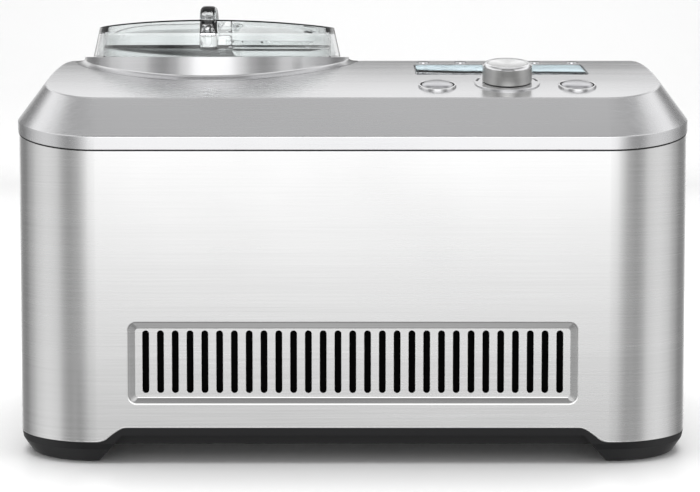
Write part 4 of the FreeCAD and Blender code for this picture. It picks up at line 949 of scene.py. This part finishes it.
@dataclass
class Bezel:
    """Pressed frame round the front vent, rounded where it leaves the wrap and at its foot."""

    half_w: float = 129.85
    half_h: float = 23.75
    r: float = 5.0
    z: float = 58.65
    face: float = -142.3
    section: Sequence[Pair] = (
        (-0.5, -0.3), (3.8, -2.3), (3.8, -1.97), (3.5, -1.91), (3.2, -1.78), (2.9, -1.6), (2.8, -1.54),
        (0.7, -0.28), (0.6, -0.23), (0.3, -0.06), (0.0, 0.03), (-0.5, 0.04))

    def build(self, made: Finishes) -> None:
        """Add the frame.

        Args:
            made: Slot name to material.
        """
        path = [Vector((x * MM, self.face * MM, (z + self.z) * MM))
                for x, z in rounded(self.half_w, self.half_h, self.r, 10)]
        Build("vent_bezel").sweep(path, self.section, closed=True, up=Vector((0, -1, 0)), inward=True).done(
            made["bezel_steel"], "housing", "brushed_wrap", crease=40.0)


@dataclass
class Hem:
    """Folded bead along the lower edge of the wrap."""

    inset: float = 1.15
    low: float = 12.8
    high: float = 21.2
    bend_in: float = 131.0
    bend_out: float = 148.0
    bead: float = 0.55
    lift: float = 0.2
    part: float = 1.5

    def height(self, x: float) -> float:
        """Height of the wrap's lower edge.

        Args:
            x: Distance to the right of the middle, in millimetres.

        Returns:
            The height in millimetres.
        """
        part = min(1.0, max(0.0, (abs(x) - self.bend_in) / (self.bend_out - self.bend_in)))
        ease = part * part * (3 - 2 * part)
        return self.high + (self.low - self.high) * ease

    def build(self, made: Finishes) -> None:
        """Add the bead.

        Args:
            made: Slot name to material.
        """
        def parts(start: Pair, end: Pair) -> int:
            """Short parts along the front and back, where the edge bends, and one elsewhere."""
            return round(math.dist(start, end) / self.part) if abs(start[1]) > HALF_D - 2 else 1

        path = round_body(self.inset, 14, parts, lambda x, y: self.height(x) + self.lift)
        Build("wrap_hem").sweep(path, rod(self.bead), closed=True).done(
            made["brushed_wrap"], "housing", "brushed_wrap", crease=60.0)


@dataclass
class Seam:
    """Black bead that fills the joint between the wrap and the cover."""

    inset: float = 1.0
    top: float = 201.5
    roll_r: float = 669.0
    drop: float = 0.65
    bead: float = 0.72
    part: float = 8.0

    def height(self, y: float) -> float:
        """Height of the joint at a depth."""
        return self.top - self.roll_r + math.sqrt(self.roll_r ** 2 - (y - CREST_Y / MM) ** 2)

    def build(self, made: Finishes) -> None:
        """Add the bead.

        Args:
            made: Slot name to material.
        """
        path = round_body(self.inset, 16, lambda start, end: round(abs(end[1] - start[1]) / self.part),
                          lambda x, y: self.height(y) - self.drop)
        Build("seam_bead").sweep(path, rod(self.bead), closed=True).done(
            made["black_rubber"], "housing", "black_rubber", crease=60.0)


# ---- lid -------------------------------------------------------------------


@dataclass
class Lid:
    """Near-black clear beads along the lid's rim and bore: painted shade for the dark lines where its thick edges
    show darker than its thin walls.
    """

    x: float = -87.5
    foot_z: float = 235.3
    foot_r: float = 79.5
    top_r: float = 75.4
    side_top: float = 253.6
    crown: float = 257.4
    bore: float = 71.3
    bead: float = 0.5
    sink: float = 0.25
    cover: float = 0.3
    steps: int = 160

    def arch(self, across: float) -> float:
        """Height of the rim.

        Args:
            across: Distance left or right of the lid's middle, in millimetres.

        Returns:
            The height in millimetres.
        """
        rise = self.crown - self.side_top
        radius = (self.top_r ** 2 + rise ** 2) / (2 * rise)
        return self.crown - radius + math.sqrt(radius ** 2 - across ** 2)

    def skirt(self, z: float) -> float:
        """Outer radius of the skirt at a height."""
        return self.foot_r - (self.foot_r - self.top_r) * (z - self.foot_z) / (self.side_top - self.foot_z)

    def loop(self, radius: float, lean: bool) -> list[Vector]:
        """Closed path round the lid, just under its arched rim.

        Args:
            radius: Radius in millimetres.
            lean: Whether the path follows the leaning skirt.

        Returns:
            Points in metres.
        """
        out = []
        for i in range(self.steps):
            angle = 2 * math.pi * i / self.steps
            z = self.arch(radius * math.cos(angle)) - self.sink
            r = self.skirt(z) - self.cover if lean else radius
            out.append(Vector(((self.x + r * math.cos(angle)) * MM, r * math.sin(angle) * MM, z * MM)))
        return out

    def build(self, made: Finishes) -> None:
        """Add the two painted-shade edge beads.

        Args:
            made: Slot name to material.
        """
        # Both beads take the near-black clear finish, painted shade along the lid's edges
        edges = (("lid_rim_painted_shade", self.top_r, True), ("lid_bore_painted_shade", self.bore + self.cover, False))
        for name, radius, lean in edges:
            Build(name).sweep(self.loop(radius, lean), rod(self.bead), closed=True).done(
                made["lid_edge_painted_shade"], "lid", "lid_clear", crease=60.0)


# ---- controls --------------------------------------------------------------


@dataclass
class Dial:
    """Turned knob with its spun disc, plate and marks."""

    x: float = 92.0
    y: float = -96.0
    knob_r: float = 14.75
    low: float = 1.1
    top: float = 12.3
    pocket_r: float = 11.85
    plate_r: float = 19.8
    stem_r: float = 3.0
    stem_low: float = -15.9
    mark_r: float = 18.0
    mark_half_w: float = 0.8
    mark_half_turn: float = 11.0
    mark_angles: Pair = (16.0, 164.0)
    dish_depth: float = 0.75
    dish_steps: int = 14

    def dish(self) -> list[Pair]:
        """Hollowed top of the spun disc.

        Returns:
            Radius and height pairs, from its rim to its middle.
        """
        rim = self.pocket_r - 0.3
        floor = self.top - 1.0
        shares = [1 - i / self.dish_steps for i in range(self.dish_steps + 1)]
        return [(rim * share, floor + self.dish_depth * share ** 2) for share in shares]

    def mark(self, place: Matrix, middle: float) -> list[Vector]:
        """Arc of a mark on the plate.

        Args:
            place: Where the dial stands.
            middle: Angle of the mark's middle, in degrees.

        Returns:
            Points in metres.
        """
        turns = [math.radians(middle) + math.radians(-self.mark_half_turn + 2 * i) for i in range(12)]
        return [scaled(place, self.mark_r * math.cos(a), self.mark_r * math.sin(a), 0.8) for a in turns]

    def build(self, made: Finishes) -> None:
        """Add the knob, disc, plate and marks.

        Args:
            made: Slot name to material.
        """
        place = on_deck(self.x * MM, self.y * MM)
        r = self.knob_r
        top = self.top
        pocket = self.pocket_r
        knob = [(0, self.stem_low), (self.stem_r, self.stem_low), (self.stem_r, self.low), (r - 0.5, self.low),
                (r, self.low + 0.5), (r, top - 1.75), (r - 0.3, top - 1.75), (pocket + 0.2, top - 0.4),
                (pocket, top - 0.6), (pocket, top - 1.2), (0, top - 1.2)]
        Build("dial_body").lathe(knob, place).done(made["dial_alloy"], "dial", "dial_alloy", ["dial_knob"])
        rim = [(r - 0.35, top - 1.8), (r - 0.02, top - 1.8), (r, top - 1.6), (r - 0.15, top - 1.3),
               (r - 1.25, top - 0.15), (r - 1.6, top), (pocket + 0.45, top), (pocket + 0.1, top - 0.2),
               (pocket + 0.05, top - 0.5), (pocket + 0.25, top - 0.5)]
        Build("dial_rim").lathe(rim, place).done(made["polished_ring"], "dial", "dial_alloy", crease=25.0)
        disc = [(0, top - 1.17), (pocket - 0.1, top - 1.17), (pocket - 0.05, top - 0.4)] + self.dish()
        Build("dial_disc").lathe(disc, place).done(made["spun_disc"], "dial", "spun_disc", ["dial_cap"])
        plate = [(4.2, -0.1), (self.plate_r, -0.35), (self.plate_r, 0.45), (self.plate_r - 0.35, 0.8), (4.2, 0.8)]
        Build("dial_plate").lathe(plate, place).done(made["ring_steel"], "housing", "ring_steel", ["dial_ring"])
        half = self.mark_half_w
        marks = Build("dial_marks")
        for middle in self.mark_angles:
            marks.sweep(self.mark(place, middle), [(-half, -0.1), (half, -0.1), (half, 0.04), (-half, 0.04)],
                        up=place.to_3x3() @ Vector((0, 0, 1)))
        marks.done(made["mark_paint"], "housing", "ring_steel")


@dataclass
class Buttons:
    """Two large domed buttons in polished rings, and the row of small ones."""

    y: float = -104.0
    power_x: float = 50.1
    start_x: float = 132.9
    cap_r: float = 9.3
    row_y: float = -20.0
    row_x: float = 92.0
    pitch: float = 23.6
    small_r: float = 3.85
    small_count: int = 5
    stem_r: float = 2.0
    stem_low: float = -13.0

    def cap(self, r: float, low: float, edge: float, crown: float) -> list[Pair]:
        """Profile of a cap with a rounded edge, a domed top and a stem.

        Args:
            r: Radius of the cap.
            low: Height of its underside.
            edge: Height where the rounding starts.
            crown: Height of the middle of the dome.

        Returns:
            Radius and height pairs.
        """
        shoulder = edge + 0.45
        turns = [math.radians(9 * i) for i in range(1, 10)]
        dome = [(r * 0.93 * math.cos(a), shoulder + (crown - shoulder) * math.sin(a)) for a in turns]
        stem = [(0, self.stem_low), (self.stem_r, self.stem_low), (self.stem_r, low)]
        rim = [(r, low), (r, edge), (r - 0.1, edge + 0.25), (r * 0.95, shoulder)]
        return stem + rim + dome + [(0, crown)]

    def build(self, made: Finishes) -> None:
        """Add the caps, the rings, and the black painted-shade rings in the gaps between them.

        Args:
            made: Slot name to material.
        """
        chrome = made["button_chrome"]
        ring = [(10.0, -0.9), (11.3, -0.9), (11.5, 0.1), (11.4, 0.75), (11.1, 1.3), (10.75, 1.6), (10.4, 1.55),
                (10.1, 1.25), (10.0, 0.8)]
        # Black rings that fill the gap between each cap and its polished ring: painted shade drawing a dark
        # outline there
        shadow = [(9.55, -2.0), (9.98, -2.0), (9.98, 1.1), (9.75, 1.2), (9.55, 1.1)]
        rings = Build("button_bezels")
        gap_shade_rings = Build("button_gap_shade")
        for x, node in ((self.power_x, "power_button"), (self.start_x, "start_button")):
            place = on_deck(x * MM, self.y * MM)
            cap = self.cap(self.cap_r, -3.0, 0.9, 2.55)
            Build(node + "_cap").lathe(cap, place, 72).done(made[node + "_spun"], node, "button_chrome", [node])
            rings.lathe(ring, place, 72)
            gap_shade_rings.lathe(shadow, place, 72)
        rings.done(made["polished_ring"], "housing", "polished_ring", ["button_rings"], crease=50.0)
        gap_shade_rings.done(made["black_rubber"], "housing", "black_rubber", crease=50.0)
        for i in range(self.small_count):
            node = f"mode_button_{i + 1}"
            place = on_deck((self.row_x + self.pitch * (i - self.small_count // 2)) * MM, self.row_y * MM)
            cap = self.cap(self.small_r, -3.6, 0.45, 0.98)
            Build(node + "_cap").lathe(cap, place, 40).done(chrome, node, "button_chrome", [node])


@dataclass
class Display:
    """Flush window over a pale blue face with a dark printed border."""

    x: float = 91.1
    y: float = -53.0
    half_w: float = 52.6
    half_d: float = 20.0
    r: float = 2.5
    border: float = 1.1
    border_z: float = -1.8
    module_over: float = 1.9

    def build(self, made: Finishes) -> None:
        """Add the window, the face and the border.

        Args:
            made: Slot name to material.
        """
        place = on_deck(self.x * MM, self.y * MM)
        outline = rounded(self.half_w, self.half_d, self.r)
        Build("display_window").plate(outline, -0.6, -0.1, place, 0.15).done(
            made["window_clear"], "housing", "window_clear", ["lcd_window"])
        module = rounded(self.half_w + self.module_over, self.half_d + self.module_over, 2.0)
        Build("display_module").plate(module, -8.4, -3.1, place).done(
            made["grey_plastic"], "housing", "lcd_panel", ["lcd_module"])
        face = rounded(self.half_w - self.border, self.half_d - self.border, self.r)
        Build("display_face").plate(face, -3.08, -0.62, place).done(made["lcd_panel"], "housing", "lcd_panel")
        mid = self.border / 2
        middle = rounded(self.half_w - mid, self.half_d - mid, self.r)
        path = [scaled(place, x, y, self.border_z) for x, y in middle]
        upright = place.to_3x3() @ Vector((0, 0, 1))
        Build("display_border").sweep(path, [(-mid, -1.2), (mid, -1.2), (mid, 0.5), (-mid, 0.5)], closed=True,
                                      up=upright).done(made["mark_paint"], "housing", "lcd_panel")


# ---- carried-over parts ----------------------------------------------------


def spun_caps() -> dict[str, BrushedMetal]:
    """Finishes of the two large caps, each spun about its own middle.

    Returns:
        Finish name to finish.
    """
    y = Buttons.y * MM
    lean = deck_tilt(y)
    places = (("power_button", Buttons.power_x), ("start_button", Buttons.start_x))
    return {node + "_spun": BrushedMetal("spun cap " + node, (0.52, 0.52, 0.54), 0.16, Grain.SPUN, lines=1600.0,
                                         centre=(x * MM, y, deck_height(y)), tilt=lean, smear=0.85)
            for node, x in places}


def finishes() -> Finishes:
    """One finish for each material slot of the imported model, and those of the new pieces.

    Returns:
        Slot name to material.
    """
    dial_y = Dial.y * MM
    knob = (Dial.x * MM, dial_y, deck_height(dial_y) + 12.0 * MM)
    lean = deck_tilt(dial_y)
    low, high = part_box("freezer_well")
    axis = ((low[0] + high[0]) / 2, (low[1] + high[1]) / 2, 0.0)
    makers = {
        "black_plastic": Moulded("black moulding", (0.012, 0.012, 0.013), 0.42, gloss=0.28),
        "bezel_steel": BrushedMetal("pressed frame", (0.78, 0.78, 0.78), 0.16, smear=0.1),
        "brushed_wrap": BrushedMetal("level brushed wrap", (0.80, 0.80, 0.80), 0.24, smear=0.4),
        "satin_cover": BrushedMetal("satin cover", (0.72, 0.72, 0.73), 0.25, Grain.SIDEWAYS, contrast=0.05,
                                     smear=0.3),
        "collar_steel": BrushedMetal("turned collar", (0.74, 0.74, 0.75), 0.2, Grain.ROUND, centre=axis),
        "zinc_screws": Polished("zinc plate", (0.62, 0.61, 0.57), 0.32),
        "black_rubber": Moulded("black rubber", (0.012, 0.012, 0.012), 0.7),
        "foot_rubber": Moulded("foot rubber", (0.02, 0.02, 0.02), 0.8),
        "clear_rubber": Clear("clear rubber", (0.95, 0.97, 0.97), 0.12, bend=1.2),
        "well_alloy": BrushedMetal("spun well", (0.72, 0.73, 0.74), 0.22, Grain.ROUND, centre=axis),
        "bowl_alloy": BrushedMetal("anodised bowl", (0.55, 0.56, 0.57), 0.3, Grain.ROUND, centre=axis),
        "coil_copper": Drawn("coil copper", (0.80, 0.45, 0.31), (0.45, 0.26, 0.18)),
        "pipe_copper": Drawn("pipe copper", (0.83, 0.47, 0.32), (0.5, 0.3, 0.2)),
        "foam": Foam("insulating foam", (0.82, 0.75, 0.55)),
        "grey_plastic": Moulded("grey moulding", (0.2, 0.21, 0.22), 0.5),
        "gear_plastic": Moulded("gear moulding", (0.82, 0.8, 0.73), 0.38),
        "ground_steel": Polished("ground steel", (0.66, 0.66, 0.67), 0.2),
        "plated_steel": Polished("plated can", (0.55, 0.55, 0.53), 0.34),
        "bush_bronze": Drawn("sintered bronze", (0.58, 0.42, 0.22), (0.35, 0.25, 0.14), 0.4),
        "paddle_plastic": Moulded("paddle moulding", (0.78, 0.8, 0.81), 0.3, coat=0.3, wear=0.03),
        # Near-black clear finish for the lid's edge beads: painted shade, not a colour of the moulding
        "lid_edge_painted_shade": Clear("lid edge painted shade", (0.012, 0.016, 0.018), 0.05),
        "lid_clear": Clear("clear lid", (0.975, 0.99, 0.99), 0.005),
        "window_clear": Clear("clear window", (0.97, 0.99, 1.0), bend=1.04),
        "lcd_panel": Moulded("display", (0.42, 0.50, 0.53), 0.5, wear=0.03, gloss=0.1, glow=0.08),
        "board_green": Circuit("board", (0.02, 0.12, 0.05)),
        "switch_plastic": Moulded("switch moulding", (0.04, 0.04, 0.04), 0.45),
        "ring_steel": BrushedMetal("dial plate", (0.76, 0.76, 0.77), 0.22, Grain.SIDEWAYS),
        "dial_alloy": BrushedMetal("turned dial", (0.6, 0.6, 0.59), 0.34, Grain.ROUND, centre=knob,
                                   tilt=lean, smear=0.0),
        "spun_disc": BrushedMetal("spun disc", (0.78, 0.78, 0.78), 0.2, Grain.SPUN, lines=1400.0, centre=knob,
                                  tilt=lean, smear=0.92),
        "polished_ring": Polished("polished ring", (0.8, 0.8, 0.81), 0.05),
        "button_chrome": Polished("satin button", (0.74, 0.74, 0.76), 0.09),
        **spun_caps(),
        "compressor_black": Moulded("compressor paint", (0.012, 0.012, 0.013), 0.28, pits=900.0, coat=0.4),
        "condenser_fins": BrushedMetal("rolled fins", (0.6, 0.6, 0.61), 0.35),
        # Near-black, barely reflecting finish behind the vent slots: painted shade
        "vent_painted_shade": Moulded("vent painted shade", (0.003, 0.003, 0.003), 0.9, gloss=0.05),
        "mark_paint": Moulded("mark paint", (0.02, 0.02, 0.022), 0.4),
    }
    return {key: value.make() for key, value in makers.items()}


def dress_parts(made: Finishes) -> None:
    """Give every carried-over part the finish of its slot.

    Args:
        made: Slot name to material.
    """
    for row in frame["record"]["subparts"]:
        node = frame["nodes"][row["node"]]
        node.data.materials.clear()
        node.data.materials.append(made[row["material_slot"]])
    LOG.info("dressed %d carried-over parts", len(frame["nodes"]))


# ---- setting ---------------------------------------------------------------


@dataclass
class Setting:
    """Camera, floor, backdrop and lights."""

    eye: Point = (0.0, -1.203, 0.235)
    lens: float = 95.35
    horizon_rise: float = 189.0
    middle_shift: float = 2.75
    shift_part: float = 84.0
    picture_width: float = 700.0
    room_level: float = 1.75
    top_power: float = 76.0
    bands: Sequence[Pair] = (
        (0.0, 1.0), (13.0, 0.97), (24.0, 0.6), (34.0, 0.29), (43.0, 0.19), (52.0, 0.25), (62.0, 0.44),
        (80.0, 0.48), (96.0, 0.42), (112.0, 0.27), (128.0, 0.14), (150.0, 0.18), (180.0, 0.18))
    heights: Sequence[Pair] = (
        (-90.0, 0.5), (-20.0, 0.5), (-2.0, 0.56), (2.0, 0.08), (12.0, 0.13), (20.0, 0.32), (28.0, 0.54),
        (36.0, 0.75), (43.0, 0.62), (50.0, 0.52), (58.0, 0.26), (65.0, 0.27), (74.0, 0.46), (84.0, 0.38),
        (90.0, 0.34))
    front: Sequence[Pair] = ((0.0, 1.0), (30.0, 1.0), (38.0, 0.0))
    front_gap: Sequence[Pair] = ((22.0, 1.0), (32.0, 0.4), (58.0, 0.3), (68.0, 1.0))
    front_fall: Sequence[Pair] = ((-90.0, 0.34), (-50.0, 0.25), (-28.0, 0.11), (-14.0, 0.23), (1.0, 1.0))
    overhead: Sequence[Pair] = ((22.0, 0.0), (42.0, 1.0))
    behind: Sequence[Pair] = ((148.0, 0.0), (158.0, 1.0))
    side_glow: Sequence[Pair] = ((146.0, 0.0), (154.0, 0.5), (166.0, 0.5), (173.0, 0.0))
    glow_rise: Sequence[Pair] = ((-1.0, 0.0), (5.0, 1.0), (22.0, 1.0), (32.0, 0.0))

    def camera(self) -> None:
        """Camera level with the collar, tipped down and shifted a little."""
        data = bpy.data.cameras.new("camera")
        data.lens = self.lens
        data.sensor_width = SENSOR_WIDTH
        data.shift_x = -self.middle_shift / self.picture_width
        data.shift_y = -self.shift_part / self.picture_width
        data.clip_start = 0.05
        data.clip_end = 50.0
        camera = bpy.data.objects.new("camera", data)
        focal = self.lens / SENSOR_WIDTH * self.picture_width
        tilt = math.atan((self.horizon_rise - self.shift_part) / focal)
        camera.location = self.eye
        camera.rotation_euler = (math.pi / 2 - tilt, 0.0, 0.0)
        bpy.context.scene.collection.objects.link(camera)
        bpy.context.scene.camera = camera

    def floor(self) -> None:
        """Pale floor that curves up into a backdrop."""
        mesh = bmesh.new()
        radius = 1.2
        back = 2.2
        bend = 16
        profile = [(-4.0, 0.0), (back, 0.0)]
        for step in range(1, bend + 1):
            turn = math.pi / 2 * step / bend
            profile.append((back + radius * math.sin(turn), radius * (1 - math.cos(turn))))
        profile.append((back + radius, 4.5))
        rows = [[mesh.verts.new((x, y, z)) for x in (-5.0, 5.0)] for y, z in profile]
        for low, high in zip(rows, rows[1:]):
            mesh.faces.new((low[0], low[1], high[1], high[0])).smooth = True
        data = bpy.data.meshes.new("floor")
        mesh.to_mesh(data)
        mesh.free()
        floor = bpy.data.objects.new("floor", data)
        g = Graph("pale floor")
        cloud = g.noise(g.even(3.0), 2.0, 0.5)
        g.set(Base_Color=g.blend(cloud, (0.86, 0.86, 0.86), (0.88, 0.88, 0.88)), Roughness=0.35)
        data.materials.append(g.material)
        floor.visible_glossy = False
        bpy.context.scene.collection.objects.link(floor)

    def light(self, name: str, place: Point, aim: Point, size: Pair, power: float) -> None:
        """One softbox.

        Args:
            name: The light's name.
            place: Where it stands, in metres.
            aim: The point it faces.
            size: Width and height, in metres.
            power: Power in watts.
        """
        data = bpy.data.lights.new(name, "AREA")
        data.shape = "RECTANGLE"
        data.size, data.size_y = size
        data.energy = power
        lamp = bpy.data.objects.new(name, data)
        lamp.visible_glossy = False
        lamp.location = place
        lamp.rotation_euler = (Vector(aim) - Vector(place)).to_track_quat("-Z", "Y").to_euler()
        bpy.context.scene.collection.objects.link(lamp)

    def room(self) -> None:
        """Studio round the object: light walls in front, dark gaps at the sides and a soft ceiling."""
        world = bpy.data.worlds.new("studio")
        world.use_nodes = True
        tree = world.node_tree
        ground = tree.nodes["Background"]

        def node(kind: str, *values: object) -> bpy.types.Node:
            """Add a node and feed its inputs.

            Args:
                kind: The node's type.
                *values: A socket to link or a constant, for each input in order.

            Returns:
                The node.
            """
            made = tree.nodes.new(kind)
            for socket, value in zip(made.inputs, values):
                if isinstance(value, bpy.types.NodeSocket):
                    tree.links.new(value, socket)
                else:
                    socket.default_value = value
            return made

        def sums(kind: str, a: object, b: object = 0.0) -> bpy.types.NodeSocket:
            """One arithmetic step.

            Args:
                kind: The operation.
                a: First value, as a socket or a constant.
                b: Second value.

            Returns:
                The result.
            """
            made = node("ShaderNodeMath", a, b)
            made.operation = kind
            return made.outputs[0]

        def ramp(value: bpy.types.NodeSocket, stops: Sequence[Pair], start: float,
                 span: float = 180.0) -> bpy.types.NodeSocket:
            """Brightness that changes smoothly along an angle.

            Args:
                value: Where the direction lies, from 0 to 1.
                stops: Angle in degrees and brightness, in rising order.
                start: Angle at 0.
                span: Angle from 0 to 1.

            Returns:
                The brightness.
            """
            made = node("ShaderNodeValToRGB", value)
            made.color_ramp.interpolation = "EASE"
            elements = made.color_ramp.elements
            while len(elements) < len(stops):
                elements.new(0.5)
            for element, (degrees, level) in zip(elements, stops):
                element.position = (degrees - start) / span
                element.color = (level, level, level, 1.0)
            return made.outputs["Color"]

        def turned(stops: Sequence[Pair]) -> bpy.types.NodeSocket:
            """Brightness by the angle left or right of the front."""
            return ramp(around, stops, 0.0)

        def raised(stops: Sequence[Pair]) -> bpy.types.NodeSocket:
            """Brightness by the angle above the horizon."""
            return ramp(rise, stops, -90.0)

        def held_in_front(factor: bpy.types.NodeSocket) -> bpy.types.NodeSocket:
            """Factor in front of the object, fading to one at the sides."""
            return sums("SUBTRACT", 1.0, sums("MULTIPLY", in_front, sums("SUBTRACT", 1.0, factor)))

        coords = tree.nodes.new("ShaderNodeTexCoord").outputs["Generated"]
        x, y, z = node("ShaderNodeSeparateXYZ", coords).outputs
        around = sums("DIVIDE", sums("ABSOLUTE", sums("ARCTAN2", x, sums("MULTIPLY", y, -1.0))), math.pi)
        rise = sums("ADD", sums("DIVIDE", sums("ARCSINE", z), math.pi), 0.5)
        in_front = turned(self.front)
        walls = sums("MULTIPLY", turned(self.bands), held_in_front(raised(self.front_fall)))
        ceiling = sums("MULTIPLY", raised(self.heights), held_in_front(raised(self.front_gap)))
        share = sums("MAXIMUM", raised(self.overhead), turned(self.behind))
        mixed = sums("ADD", sums("MULTIPLY", walls, sums("SUBTRACT", 1.0, share)),
                     sums("MULTIPLY", ceiling, share))
        glow = sums("MULTIPLY", turned(self.side_glow), raised(self.glow_rise))
        tree.links.new(sums("MAXIMUM", mixed, glow), ground.inputs["Color"])
        ground.inputs["Strength"].default_value = self.room_level
        bpy.context.scene.world = world

    def lights(self) -> None:
        """Soft top light that whitens the floor and gives the feet their shadow."""
        self.light("top softbox", (0.0, 0.35, 2.4), (0.0, 0.1, 0.0), (2.6, 2.2), self.top_power)

    def build(self) -> None:
        """Set everything up."""
        self.camera()
        self.floor()
        self.room()
        self.lights()
        bpy.context.scene.view_settings.view_transform = "Standard"
        LOG.info("setting ready")


def main() -> None:
    """Build the setting, then every sub-assembly in order."""
    logging.basicConfig(level=logging.INFO, format="%(name)s: %(message)s")
    Setting().build()
    made = finishes()
    dress_parts(made)
    for assembly in (Vent(), Bezel(), Hem(), Seam(), Lid(), Dial(), Buttons(), Display()):
        assembly.build(made)
        LOG.info("%s built", type(assembly).__name__)


if __name__ == "__main__":
    main()
